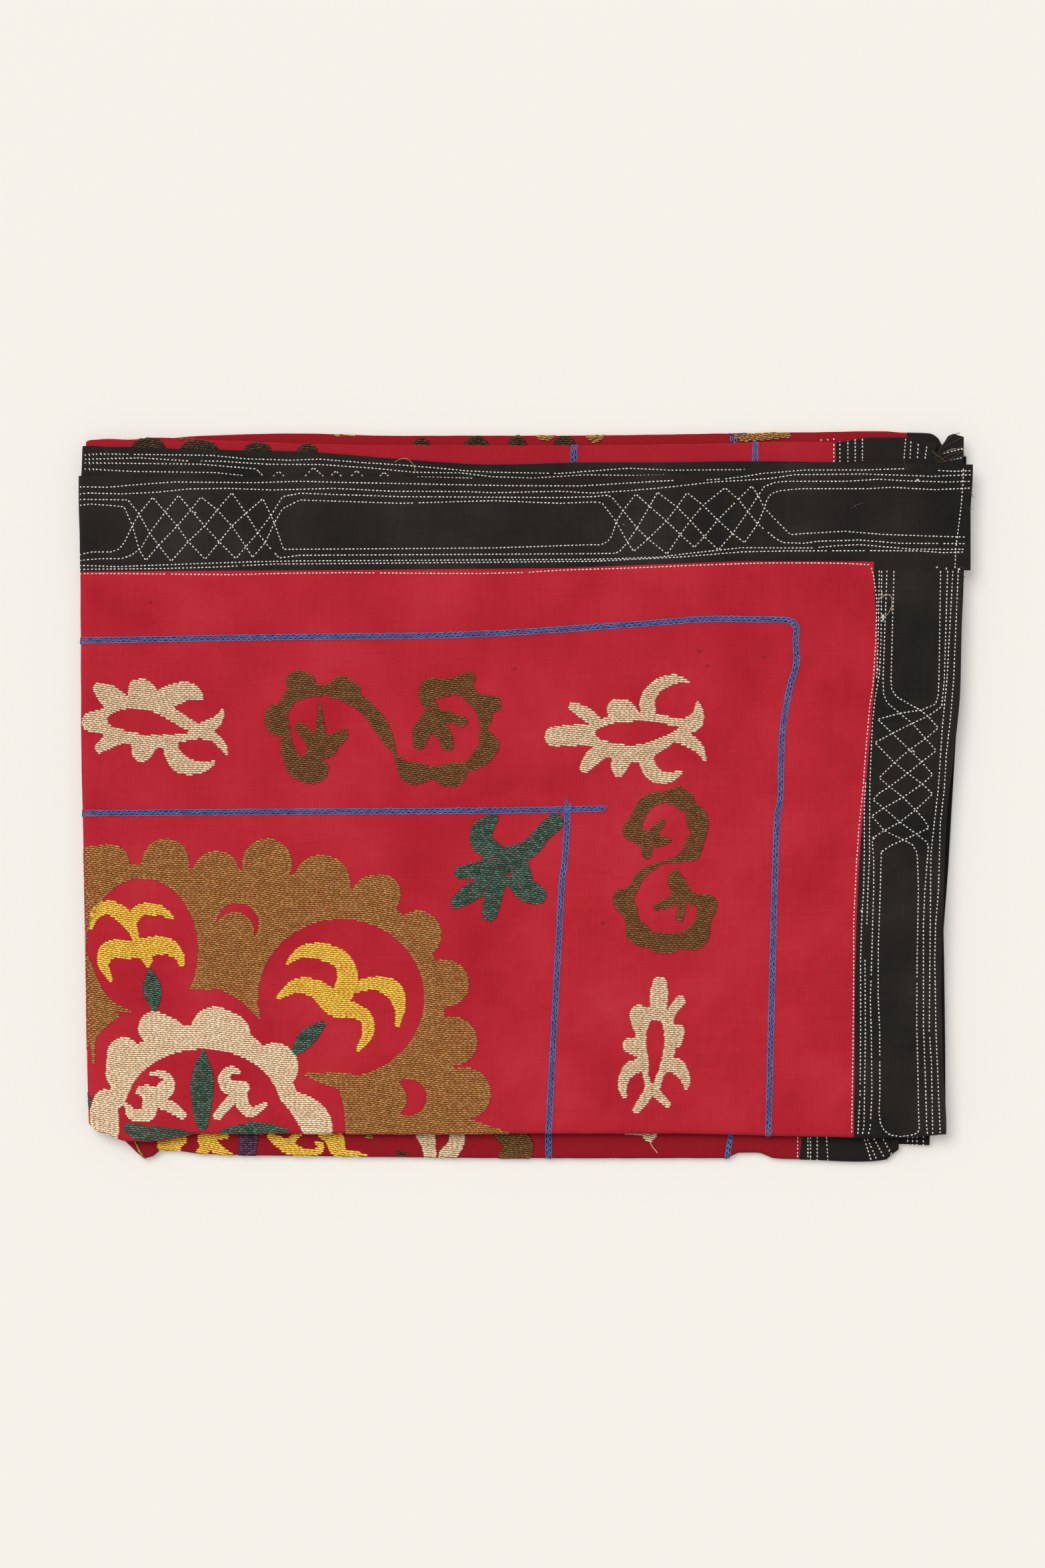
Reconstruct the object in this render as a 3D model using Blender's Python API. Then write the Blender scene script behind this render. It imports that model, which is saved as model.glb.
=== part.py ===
"""A red cotton cloth with black border strips, folded to a flat pack that lies on a surface.

The cloth is folded in half and in half again along its length, which makes four sections, and then
once across, which brings its left half underneath. The model's origin is at the middle of the
pack's underside, +X is to the right along its longest side, +Y towards the edge where the ends of
the cloth lie, and +Z up. Each panel and border strip is one closed sheet that follows the folds.

A place on the flat cloth is given by p, across it, and q, along it. On the uppermost section they
are equal to the pack's own x and y. Below the left fold p goes on falling while x rises again.
"""

import bpy
import numpy as np

MM = 0.001

# The cloth and the way it is stacked, in metres.
THICKNESS = 0.0012
PITCH = 0.0025
SEAM_GAP = 0.0004

# Heights of the four sections above the middle of the left fold, from the outermost inwards.
H_S1 = 3.5 * PITCH
H_S4 = 2.5 * PITCH
H_S3 = 1.5 * PITCH
H_S2 = 0.5 * PITCH
AXIS_Z = H_S1 + THICKNESS / 2
FOLD_RADIUS = H_S1
OUTER_RADIUS = 1.5 * PITCH
INNER_RADIUS = 0.5 * PITCH
OUTER_CENTRE = (H_S1 + H_S2) / 2
TOP_CENTRE = (H_S3 + H_S2) / 2
INNER_CENTRE = (H_S3 + H_S4) / 2

# Where the left fold's outer face lies, in millimetres: y, x.
LEFT_EDGE = np.array([
    (-328, -392), (-302, -393), (-242, -394.5), (-122, -396.3), (-62, -397.5), (58, -400),
    (208, -400.5), (289, -402), (299, -399), (317, -398), (325, -396),
])

# Edges and folds of the upper half, in millimetres, from the left fold to the right edge:
# x, first end, outer bottom fold, top fold, inner bottom fold, second end.
UPPER = np.array([
    (-402, 290, -299, 323, -289, 317),
    (-376, 289, -304, 324, -290, 316),
    (-359, 289, -310, 323, -291, 316),
    (-332, 289, -310, 325, -290, 315),
    (-306, 289, -305, 324, -289, 314),
    (-293, 289, -303, 323, -289, 314),
    (-263, 289, -303, 322, -290, 313),
    (-209, 289, -303, 320, -291, 312),
    (-113, 289, -303, 318, -291, 305),
    (-29, 287, -303, 318, -289, 300),
    (67, 289, -303, 318, -288, 302),
    (127, 291, -303, 319, -289, 302),
    (187, 294, -304, 320, -291, 303),
    (223, 300, -305, 321, -292, 303),
    (280, 302, -306, 321, -291, 302),
    (314, 301, -307, 325, -290, 304),
    (349, 301, -306, 325, -289, 304),
    (362, 301, -305, 321, -290, 305),
    (373, 301, -304, 317, -290, 314),
    (384, 301, -303, 315, -290, 328),
    (396, 300, -302, 314, -290, 325),
])

# The same for the lower half, which shows beyond the upper one: x, first end, outer bottom fold,
# top fold, inner bottom fold, second end.
LOWER = np.array([
    (-402, 290, -297, 322, -287, 317),
    (-376, 291, -300, 321, -286, 306),
    (-362, 292, -309, 321, -287, 298),
    (-350, 292, -322, 322, -292, 297),
    (-344, 292, -326, 323, -294, 296),
    (-338, 292, -325, 323, -294, 296),
    (-330, 292, -319, 324, -294, 296),
    (-318, 292, -319, 325, -295, 296),
    (-293, 292, -322, 327, -297, 296),
    (-209, 292, -324, 329, -300, 297),
    (-113, 292, -325, 327, -303, 298),
    (-23, 292, -326, 327, -304, 298),
    (127, 293, -326, 328, -306, 298),
    (181, 293, -326, 329, -307, 298),
    (193, 293, -321, 329, -307, 298),
    (210, 293, -321, 329, -308, 298),
    (225, 293, -326, 330, -309, 298),
    (247, 294, -327, 330, -310, 298),
    (307, 294, -329, 331, -312, 299),
    (326, 294, -327, 331, -313, 299),
    (337, 294, -318, 330, -313, 299),
    (365, 294, -316, 329, -314, 299),
    (392, 294, -316, 308, -314, 299),
])

# The right-hand edge and the seam beside it, along the cloth: section, edge x, seam x. A section is
# counted from the first end: 0 to 1 uppermost, 1 to 2 its fold, and so on to 7 at the second end.
UPPER_SIDE = np.array([
    (0.00, 403, 314), (0.08, 400, 314), (0.15, 394.5, 314), (0.27, 392.5, 317),
    (0.34, 391.5, 314), (0.44, 385.5, 309), (0.53, 379.5, 304), (0.62, 377, 300),
    (0.78, 374.5, 297), (0.91, 376.5, 296.5), (1.00, 379, 296), (2.00, 379, 296),
    (3.00, 370, 280), (4.00, 370, 280), (5.00, 374, 290), (6.00, 374, 290), (6.60, 383, 300),
    (7.00, 395, 307),
])
LOWER_SIDE = np.array([
    (0.00, 388, 305), (0.50, 368, 284), (0.85, 346, 258), (1.00, 337, 248), (2.00, 337, 248),
    (2.15, 346, 262), (2.50, 372, 296), (3.00, 398, 345), (4.00, 398, 345), (4.60, 382, 300),
    (5.00, 365, 272), (6.00, 365, 272), (7.00, 388, 304),
])

# The y at which each column of these tables is read: ends and folds in the same order.
LINE_Y = (293, -322, 325, -308, 298)

# The seams of the first and second end strips, in the upper and the lower half: x, y.
FIRST_SEAM_UPPER = np.array([(-402, 204), (-200, 205), (31, 207), (187, 213), (314, 213), (396, 205)])
FIRST_SEAM_LOWER = np.array([(-402, 204), (392, 208)])
SECOND_SEAM_UPPER = np.array([(-402, 229), (396, 215)])
SECOND_SEAM_LOWER = np.array([(-402, 229), (392, 213)])

# Soft rises of the whole pack, in metres: x, y, reach along x, reach along y, height.
RISES = np.array([
    (0.255, 0.150, 0.022, 0.060, 0.0016),
    (0.205, 0.175, 0.016, 0.050, 0.0011),
    (-0.290, -0.060, 0.140, 0.120, 0.0018),
    (-0.020, 0.060, 0.160, 0.050, 0.0012),
    (0.120, -0.200, 0.120, 0.070, 0.0010),
    (-0.344, -0.316, 0.016, 0.012, 0.0040),
    (0.300, -0.315, 0.026, 0.014, 0.0022),
    (-0.060, 0.322, 0.090, 0.010, 0.0014),
    (0.200, 0.326, 0.080, 0.010, 0.0016),
    (0.384, 0.325, 0.014, 0.010, 0.0022),
])
RIM_DROP = 0.0016
RIM_REACH = 0.018
HALF_LENGTH = 0.402
HALF_WIDTH = 0.305

# How finely each panel is divided.
ROWS_SECTION = 7
ROWS_OUTER_FOLD = 8
ROWS_INNER_FOLD = 6
STEPS_LEFT_FOLD = 6
STRIP_STEPS = 5
END_STRIP_ROWS = 4
SIDE_MARGIN = 0.012
FOLD_FOLLOW = 0.060

# Colours as linear values, and how rough each surface is.
RED = (0.44, 0.022, 0.036, 1.0)
BLACK = (0.020, 0.018, 0.016, 1.0)
ROUGHNESS = 0.9


def smooth_lookup(at, knots, values):
    """Read a smooth curve through the knots that never overshoots them, and is level beyond them."""
    steep = np.diff(values) / np.diff(knots)
    before, after = steep[:-1], steep[1:]
    together = np.where(before * after > 0, before + after, 1.0)
    inner = np.where(before * after > 0, 2 * before * after / together, 0.0)
    slopes = np.concatenate([[0.0], inner, [0.0]])
    at = np.clip(at, knots[0], knots[-1])
    left = np.clip(np.searchsorted(knots, at, side="right") - 1, 0, len(knots) - 2)
    span = knots[left + 1] - knots[left]
    t = (at - knots[left]) / span
    rise = values[left + 1] - values[left]
    start = slopes[left] * span
    end = slopes[left + 1] * span
    return values[left] + t * (start + t * ((3 * rise - 2 * start - end) + t * (start + end - 2 * rise)))


def left_axis(y):
    """The line about which the left fold turns."""
    return smooth_lookup(y, LEFT_EDGE[:, 0] * MM, LEFT_EDGE[:, 1] * MM) + FOLD_RADIUS + THICKNESS / 2


MIDDLE_AXIS = float(left_axis(np.array(0.0)))
HALF_TURN = np.pi * FOLD_RADIUS


def lower_p(x, axis):
    """The place across the flat cloth that lies at x in the lower half."""
    return 2 * axis - HALF_TURN - x


def fold_lines(p):
    """The two ends and three folds along the cloth, as y, for places p across it."""
    upper_knots = np.maximum(UPPER[:, 0] * MM, MIDDLE_AXIS)
    rows = np.concatenate([LOWER[::-1, 1:], UPPER[:, 1:]]) * MM
    lines = []
    for column, line_y in enumerate(LINE_Y):
        lower_knots = lower_p(LOWER[:, 0] * MM, left_axis(line_y * MM))
        knots = np.concatenate([lower_knots[::-1], upper_knots])
        lines.append(smooth_lookup(p, knots, rows[:, column]))
    return lines


def breakpoints(p):
    """Values of q at the ends of the seven stretches, and the three fold centres, as y."""
    first_end, outer, top, inner, second_end = fold_lines(p)
    outer_y = outer + OUTER_RADIUS + THICKNESS / 2
    top_y = top - INNER_RADIUS - THICKNESS / 2
    inner_y = inner + INNER_RADIUS + THICKNESS / 2
    lengths = [
        first_end - outer_y, np.pi * OUTER_RADIUS + 0 * p,
        top_y - outer_y, np.pi * INNER_RADIUS + 0 * p,
        top_y - inner_y, np.pi * INNER_RADIUS + 0 * p,
        second_end - inner_y,
    ]
    marks = [first_end]
    for length in lengths:
        marks.append(marks[-1] - length)
    return marks, (outer_y, top_y, inner_y)


def section_path(p, q, offset):
    """Place p, q in the stack before the left fold: y, and the height above the fold's middle."""
    marks, (outer_y, top_y, inner_y) = breakpoints(p)
    turn_a = np.clip((marks[1] - q) / OUTER_RADIUS, 0, np.pi)
    turn_b = np.clip((marks[3] - q) / INNER_RADIUS, 0, np.pi)
    turn_c = np.clip((marks[5] - q) / INNER_RADIUS, 0, np.pi)
    zero = 0 * q
    stretches = [
        (q, H_S1 + zero, zero, 1 + zero),
        (outer_y - OUTER_RADIUS * np.sin(turn_a), OUTER_CENTRE + OUTER_RADIUS * np.cos(turn_a),
         -np.sin(turn_a), np.cos(turn_a)),
        (outer_y + marks[2] - q, H_S2 + zero, zero, -1 + zero),
        (top_y + INNER_RADIUS * np.sin(turn_b), TOP_CENTRE - INNER_RADIUS * np.cos(turn_b),
         np.sin(turn_b), -np.cos(turn_b)),
        (top_y - marks[4] + q, H_S3 + zero, zero, 1 + zero),
        (inner_y - INNER_RADIUS * np.sin(turn_c), INNER_CENTRE - INNER_RADIUS * np.cos(turn_c),
         np.sin(turn_c), np.cos(turn_c)),
        (inner_y + marks[6] - q, H_S4 + zero, zero, -1 + zero),
    ]
    place = sum((q < mark).astype(int) for mark in marks[1:7])
    y, height, normal_y, normal_h = (np.choose(place, column) for column in zip(*stretches))
    return y + offset * normal_y, height + offset * normal_h


def rise(x, y, z):
    """Lift the pack softly: nothing at the surface it lies on, most at its top."""
    lift = 0 * x
    for centre_x, centre_y, reach_x, reach_y, height in RISES:
        lift += height * np.exp(-(((x - centre_x) / reach_x) ** 2) - ((y - centre_y) / reach_y) ** 2)
    from_side = np.maximum(np.abs(x) - HALF_LENGTH, -0.2)
    from_end = np.maximum(np.abs(y) - HALF_WIDTH, -0.2)
    lift -= RIM_DROP * (np.exp(from_side / RIM_REACH) + np.exp(from_end / RIM_REACH)) / 2
    return z * (1 + lift / (2 * AXIS_Z))


def fold(p, q, offset):
    """Place p, q of the flat cloth in the folded pack, moved by offset towards its right side."""
    y, height = section_path(p, q, offset)
    axis = left_axis(y)
    turn = np.clip((axis - p) / FOLD_RADIUS, 0, np.pi)
    run = np.where(turn < np.pi, np.maximum(p - axis, 0), axis - HALF_TURN - p)
    x = axis + run - height * np.sin(turn)
    z = AXIS_Z + height * np.cos(turn)
    return np.stack([x, y, rise(x, y, z)], axis=-1)


def side_lines(section, y):
    """The p of the upper edge, upper seam, lower seam and lower edge at places along the cloth."""
    upper_edge = smooth_lookup(section, UPPER_SIDE[:, 0], UPPER_SIDE[:, 1] * MM)
    upper_seam = smooth_lookup(section, UPPER_SIDE[:, 0], UPPER_SIDE[:, 2] * MM)
    lower_edge = smooth_lookup(section, LOWER_SIDE[:, 0], LOWER_SIDE[:, 1] * MM)
    lower_seam = smooth_lookup(section, LOWER_SIDE[:, 0], LOWER_SIDE[:, 2] * MM)
    axis = left_axis(y)
    return upper_edge, upper_seam, lower_p(lower_seam, axis), lower_p(lower_edge, axis)


def q_at(p, section):
    """The q of a place counted in sections, for places p across the cloth."""
    marks = np.stack(breakpoints(p)[0])
    index = np.clip(section.astype(int), 0, 6)
    start = np.take_along_axis(marks, index[None], 0)[0]
    end = np.take_along_axis(marks, index[None] + 1, 0)[0]
    return start + (end - start) * (section - index)


def seam_y(p, upper, lower):
    """The y of a seam that is straight between the places named in its two tables."""
    knots = np.concatenate([lower_p(lower[::-1, 0] * MM, MIDDLE_AXIS),
                            np.maximum(upper[:, 0] * MM, MIDDLE_AXIS)])
    return np.interp(p, knots, np.concatenate([lower[::-1, 1], upper[:, 1]]) * MM)


def seam_sections(p):
    """Where the seams of the two end strips lie, counted in sections, for places p."""
    marks = breakpoints(p)[0]
    lines = fold_lines(p)
    first_width = lines[0] - seam_y(p, FIRST_SEAM_UPPER, FIRST_SEAM_LOWER)
    second_width = lines[4] - seam_y(p, SECOND_SEAM_UPPER, SECOND_SEAM_LOWER)
    return first_width / (marks[0] - marks[1]), 7 - second_width / (marks[6] - marks[7])


def panel_sections(p, along):
    """Keep the first and last section of a panel clear of the two end strips."""
    first, second = seam_sections(p)
    section = np.where(along <= 1, first + (1 - first) * along, along + 0 * p)
    return np.where(along >= 6, 6 + (second - 6) * (along - 6), section)


def follow_left_fold(steps, y):
    """Move steps that lie near the left fold along with it."""
    beyond = np.maximum(steps - MIDDLE_AXIS, MIDDLE_AXIS - HALF_TURN - steps)
    share = np.clip(1 - beyond / FOLD_FOLLOW, 0, 1)
    return steps + (left_axis(y) - MIDDLE_AXIS) * share


def across_steps(first, last):
    """Values of p from one to the other, one for each step in the tables and in the left fold."""
    upper = UPPER[::-1, 0] * MM
    lower = lower_p(LOWER[:, 0] * MM, MIDDLE_AXIS)
    turn = MIDDLE_AXIS - FOLD_RADIUS * np.linspace(0, np.pi, STEPS_LEFT_FOLD + 1)
    steps = np.concatenate([upper[upper > turn[0] + 6 * MM], turn, lower[lower < turn[-1] - 6 * MM]])
    inside = steps[(steps < first - SIDE_MARGIN) & (steps > last + SIDE_MARGIN)]
    return np.concatenate([[first], inside, [last]])


def along_steps():
    """Places along the cloth, counted in sections, that follow its folds."""
    counts = [
        ROWS_SECTION, ROWS_OUTER_FOLD, ROWS_SECTION, ROWS_INNER_FOLD, ROWS_SECTION,
        ROWS_INNER_FOLD, ROWS_SECTION,
    ]
    runs = [i + np.linspace(0, 1, count, endpoint=False) for i, count in enumerate(counts)]
    return np.concatenate(runs + [[7.0]])


def closed_sheet(name, p, q, material):
    """Make one closed sheet from a grid of places on the flat cloth."""
    columns, rows = p.shape
    faces_up = fold(p, q, THICKNESS / 2).reshape(-1, 3)
    faces_down = fold(p, q, -THICKNESS / 2).reshape(-1, 3)
    index = np.arange(columns * rows).reshape(columns, rows)
    a, b, c, d = index[:-1, :-1], index[1:, :-1], index[1:, 1:], index[:-1, 1:]
    upper = np.stack([a, b, c, d], axis=-1).reshape(-1, 4)
    lower = upper[:, ::-1] + columns * rows
    rim = np.concatenate([index[:, 0], index[-1, 1:], index[-2::-1, -1], index[0, -2:0:-1]])
    after = np.roll(rim, -1)
    sides = np.stack([rim, rim + columns * rows, after + columns * rows, after], axis=-1)
    mesh = bpy.data.meshes.new(name)
    faces = np.concatenate([upper, lower, sides])
    mesh.from_pydata(np.concatenate([faces_up, faces_down]).tolist(), [], faces.tolist())
    mesh.materials.append(material)
    mesh.shade_smooth()
    mesh.set_sharp_from_angle(angle=np.radians(50))
    item = bpy.data.objects.new(name, mesh)
    bpy.context.scene.collection.objects.link(item)
    return item


def cloth_material(name, colour):
    """A dull woven surface of one colour."""
    material = bpy.data.materials.new(name)
    material.use_nodes = True
    shader = material.node_tree.nodes["Principled BSDF"]
    shader.inputs["Base Color"].default_value = colour
    shader.inputs["Roughness"].default_value = ROUGHNESS
    shader.inputs["Metallic"].default_value = 0.0
    return material


def make_field(material):
    """The red panel between the four seams."""
    along = along_steps()[None, :]
    _, seam, lower_seam, _ = side_lines(along[0], 0 * along[0])
    steps = across_steps(seam.min(), lower_seam.max())[:, None]
    p = steps + 0 * along
    for _ in range(3):
        section = panel_sections(p, along)
        y = section_path(p, q_at(p, section), 0.0)[0]
        p = follow_left_fold(steps, y)
        _, seam, lower_seam, _ = side_lines(section, y)
        p[0] = seam[0] - SEAM_GAP / 2
        p[-1] = lower_seam[-1] + SEAM_GAP / 2
    q = q_at(p, panel_sections(p, along))
    q[:, 0] -= SEAM_GAP / 2
    q[:, -1] += SEAM_GAP / 2
    return closed_sheet("field", p, q, material)


def make_side_strip(name, material, lower):
    """A strip down one side, between the seams of the two end strips."""
    along = along_steps()[None, :]
    edges = side_lines(along, 0 * along)
    share = np.linspace(0, 1, STRIP_STEPS + 1)[:, None]
    p = edges[2 if lower else 0] + 0 * share
    for _ in range(3):
        section = panel_sections(p, along)
        edges = side_lines(section, section_path(p, q_at(p, section), 0.0)[0])
        if lower:
            start, end = edges[2][0] - SEAM_GAP / 2, edges[3][-1]
        else:
            start, end = edges[0][0], edges[1][-1] + SEAM_GAP / 2
        p = start + (end - start) * share
    q = q_at(p, panel_sections(p, along))
    q[:, 0] -= SEAM_GAP / 2
    q[:, -1] += SEAM_GAP / 2
    return closed_sheet(name, p, q, material)


def make_end_strip(name, material, second_end):
    """A strip across one end of the cloth, from edge to edge."""
    along = np.linspace(0, 1, END_STRIP_ROWS + 1)[None, :]
    edges = side_lines(np.array([7.0 if second_end else 0.0]), np.array([0.0]))
    steps = across_steps(edges[0][0], edges[3][0])[:, None]
    p = steps + 0 * along
    for _ in range(2):
        first, second = seam_sections(p)
        section = second + (7 - second) * along if second_end else first * along
        y = section_path(p, q_at(p, section), 0.0)[0]
        p = follow_left_fold(steps, y)
        edges = side_lines(section, y)
        p[0] = edges[0][0]
        p[-1] = edges[3][-1]
    q = q_at(p, section)
    if second_end:
        q[:, 0] -= SEAM_GAP / 2
    else:
        q[:, -1] += SEAM_GAP / 2
    return closed_sheet(name, p, q, material)


def main():
    for item in list(bpy.data.objects):
        bpy.data.objects.remove(item, do_unlink=True)
    red = cloth_material("red_cotton", RED)
    black = cloth_material("black_cotton", BLACK)
    items = [
        make_field(red),
        make_end_strip("border_top", black, False),
        make_end_strip("border_bottom", black, True),
        make_side_strip("border_right", black, False),
        make_side_strip("border_left", black, True),
    ]
    corners = np.array([item.matrix_world @ vert.co for item in items for vert in item.data.vertices])
    middle = (corners.min(axis=0) + corners.max(axis=0)) / 2
    for item in items:
        item.location.x -= middle[0]
        item.location.y -= middle[1]


main()
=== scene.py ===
"""A folded suzani lying on a pale floor, seen from straight above.

A red cotton cloth with black quilted border strips is folded to a flat pack. Its embroidery is made
of single stitches laid in rows, its border lines of single machine stitches.

Places on the cloth are worked out as the pack's own shape is: p runs across the flat cloth and q
along it, and fold() puts them into the folded pack. What is seen from above is written in photo
pixels, each PIXEL metres wide, and unfold() gives its p and q on the layer that it lies on.
"""

import bpy
import numpy as np
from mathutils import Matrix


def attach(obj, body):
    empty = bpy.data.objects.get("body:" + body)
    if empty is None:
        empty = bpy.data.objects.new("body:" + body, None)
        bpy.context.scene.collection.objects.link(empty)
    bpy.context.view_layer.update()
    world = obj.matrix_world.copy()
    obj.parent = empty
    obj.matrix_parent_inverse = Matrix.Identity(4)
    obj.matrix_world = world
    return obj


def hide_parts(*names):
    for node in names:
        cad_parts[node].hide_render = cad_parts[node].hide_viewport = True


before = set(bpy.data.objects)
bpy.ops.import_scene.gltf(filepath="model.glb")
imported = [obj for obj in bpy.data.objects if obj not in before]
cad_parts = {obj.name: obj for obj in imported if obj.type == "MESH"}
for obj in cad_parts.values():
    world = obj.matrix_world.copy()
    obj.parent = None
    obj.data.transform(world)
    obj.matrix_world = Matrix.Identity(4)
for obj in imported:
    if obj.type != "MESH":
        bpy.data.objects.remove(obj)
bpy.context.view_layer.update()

MM = 0.001

# The photo's scale, the pixel that is the pack's raw middle, and that middle in the frame.
PIXEL = 0.0006
PIXEL_X = 788.5
PIXEL_Y = 1196.5
PACK_MIDDLE = np.array([0.00055, 0.0005, 0.0])

# The cloth and the way it is stacked, in metres.
SOLID_THICKNESS = 0.0012
FIELD_THICKNESS = 0.0008
STRIP_THICKNESS = 0.0012
SEAM_OVERLAP = 0.0004
PITCH = 0.0025
H_S1 = 3.5 * PITCH
H_S4 = 2.5 * PITCH
H_S3 = 1.5 * PITCH
H_S2 = 0.5 * PITCH
AXIS_Z = H_S1 + SOLID_THICKNESS / 2
FOLD_RADIUS = H_S1
OUTER_RADIUS = 1.5 * PITCH
INNER_RADIUS = 0.5 * PITCH
OUTER_CENTRE = (H_S1 + H_S2) / 2
TOP_CENTRE = (H_S3 + H_S2) / 2
INNER_CENTRE = (H_S3 + H_S4) / 2
EDGE_SHARE = 0.97
WRAP = 0.0025
LAYER_HEIGHT = {"top": H_S1, "second_end": H_S4, "third": H_S3, "lower": H_S2}

# Where the left fold's outer face lies, in millimetres: y, x.
LEFT_EDGE = np.array([
    (-328, -393), (-302, -394), (-242, -395.7), (-122, -397.5), (-62, -398.7), (58, -401.2),
    (208, -402), (289, -403.5), (299, -403), (317, -402.5), (325, -401),
])

# Edges and folds of the upper half, in millimetres, from the left fold to the right edge:
# x, first end, outer bottom fold, top fold, inner bottom fold, second end.
UPPER = np.array([
    (-402, 290, -299, 323, -289, 317),
    (-376, 289, -304, 324, -290, 316),
    (-359, 289, -310, 323, -291, 316),
    (-332, 289, -310, 325, -290, 315),
    (-306, 289, -305, 324, -289, 314),
    (-293, 289, -303, 323, -289, 314),
    (-263, 289, -303, 322, -290, 313),
    (-209, 289, -303, 320, -291, 312),
    (-113, 289, -303, 318, -291, 305),
    (-29, 287, -303, 318, -289, 300),
    (67, 289, -303, 318, -288, 302),
    (127, 291, -303, 319, -289, 302),
    (187, 294, -304, 320, -291, 303),
    (223, 300, -305, 321, -292, 303),
    (280, 302, -306, 321, -291, 302),
    (314, 301, -307, 325, -290, 304),
    (349, 301, -306, 325, -289, 304),
    (362, 301, -305, 321, -290, 305),
    (373, 301, -304, 317, -290, 314),
    (384, 301, -303, 315, -290, 328),
    (396, 300, -302, 314, -290, 325),
])

# The same for the lower half, which shows beyond the upper one: x, first end, outer bottom fold,
# top fold, inner bottom fold, second end.
LOWER = np.array([
    (-402, 290, -297, 322, -287, 317),
    (-376, 291, -300, 321, -286, 306),
    (-362, 292, -309, 321, -287, 298),
    (-350, 292, -322, 322, -292, 297),
    (-344, 292, -326, 323, -294, 296),
    (-338, 292, -325, 323, -294, 296),
    (-330, 292, -319, 324, -294, 296),
    (-318, 292, -319, 325, -295, 296),
    (-293, 292, -322, 327, -297, 296),
    (-209, 292, -324, 329, -300, 297),
    (-113, 292, -325, 327, -303, 298),
    (-23, 292, -326, 327, -304, 298),
    (127, 293, -326, 328, -306, 298),
    (181, 293, -326, 329, -307, 298),
    (193, 293, -321, 329, -307, 298),
    (210, 293, -321, 329, -308, 298),
    (225, 293, -326, 330, -309, 298),
    (247, 294, -327, 330, -310, 298),
    (307, 294, -329, 331, -312, 299),
    (326, 294, -327, 331, -313, 299),
    (337, 294, -318, 330, -313, 299),
    (365, 294, -316, 329, -314, 299),
    (392, 294, -316, 308, -314, 299),
])

# The right-hand edge and the seam beside it, along the cloth: section, edge x, seam x. A section is
# counted from the first end: 0 to 1 uppermost, 1 to 2 its fold, and so on to 7 at the second end.
UPPER_SIDE = np.array([
    (0.00, 403, 314), (0.08, 400, 314), (0.15, 394.5, 314), (0.27, 392.5, 317),
    (0.34, 391.5, 314), (0.44, 385.5, 309), (0.53, 379.5, 304), (0.62, 377, 300),
    (0.78, 374.5, 297), (0.91, 376.5, 296.5), (1.00, 379, 296), (2.00, 379, 296),
    (3.00, 370, 280), (4.00, 370, 280), (5.00, 374, 290), (6.00, 374, 290), (6.60, 383, 300),
    (7.00, 395, 307),
])
LOWER_SIDE = np.array([
    (0.00, 388, 305), (0.50, 368, 284), (0.85, 346, 258), (1.00, 337, 248), (2.00, 337, 248),
    (2.15, 346, 262), (2.50, 372, 296), (3.00, 398, 345), (4.00, 398, 345), (4.60, 382, 300),
    (5.00, 365, 272), (6.00, 365, 272), (7.00, 388, 304),
])

# The y at which each column of these tables is read: ends and folds in the same order.
LINE_Y = (293, -322, 325, -308, 298)

# The seams of the first and second end strips, in the upper and the lower half: x, y.
FIRST_SEAM_UPPER = np.array([(-402, 204), (-200, 205), (31, 207), (187, 213), (314, 213), (396, 205)])
FIRST_SEAM_LOWER = np.array([(-402, 204), (392, 208)])
SECOND_SEAM_UPPER = np.array([(-402, 229), (396, 215)])
SECOND_SEAM_LOWER = np.array([(-402, 229), (392, 213)])

# Soft rises of the whole pack, in metres: x, y, reach along x, reach along y, height.
RISES = np.array([
    (0.255, 0.150, 0.022, 0.060, 0.0016),
    (0.205, 0.175, 0.016, 0.050, 0.0011),
    (-0.290, -0.060, 0.140, 0.120, 0.0018),
    (-0.020, 0.060, 0.160, 0.050, 0.0012),
    (0.120, -0.200, 0.120, 0.070, 0.0010),
    (-0.344, -0.316, 0.016, 0.012, 0.0040),
    (0.300, -0.315, 0.026, 0.014, 0.0022),
    (-0.060, 0.322, 0.090, 0.010, 0.0014),
    (0.200, 0.326, 0.080, 0.010, 0.0016),
    (0.384, 0.325, 0.014, 0.010, 0.0022),
])
RIM_DROP = 0.0016
RIM_REACH = 0.018
HALF_LENGTH = 0.402
HALF_WIDTH = 0.305

# Creases of the uppermost layer, in pixels and metres: from x, y to x, y, half width, height.
CREASES = [
    (1133, 859, 1167, 884, 0.006, 0.00070),
    (1168, 886, 1196, 1010, 0.006, 0.00045),
    (1215, 850, 1228, 1000, 0.007, -0.00040),
    (1262, 870, 1269, 915, 0.006, 0.00070),
    (1262, 915, 1262, 1080, 0.008, 0.00045),
    (1294, 930, 1292, 971, 0.006, -0.00070),
    (1292, 971, 1281, 1034, 0.006, -0.00060),
    (820, 880, 1130, 870, 0.007, 0.00030),
    (300, 905, 760, 900, 0.009, 0.00025),
    (180, 1215, 560, 1232, 0.007, 0.00030),
    (700, 1190, 900, 1180, 0.006, -0.00025),
    (1060, 1180, 1120, 1420, 0.010, 0.00035),
    (1110, 1500, 1150, 1690, 0.010, -0.00030),
    (860, 1420, 900, 1690, 0.012, 0.00030),
    (1225, 1150, 1235, 1600, 0.012, 0.00035),
    (1335, 1298, 1358, 1300, 0.003, -0.00050),
    (1323, 1367, 1375, 1376, 0.0035, -0.00030),
    (1322, 1494, 1372, 1499, 0.0035, -0.00030),
    (1323, 1540, 1374, 1549, 0.003, -0.00040),
    (1325, 1568, 1374, 1576, 0.003, -0.00040),
    (640, 1190, 650, 1300, 0.008, 0.00030),
]

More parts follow.
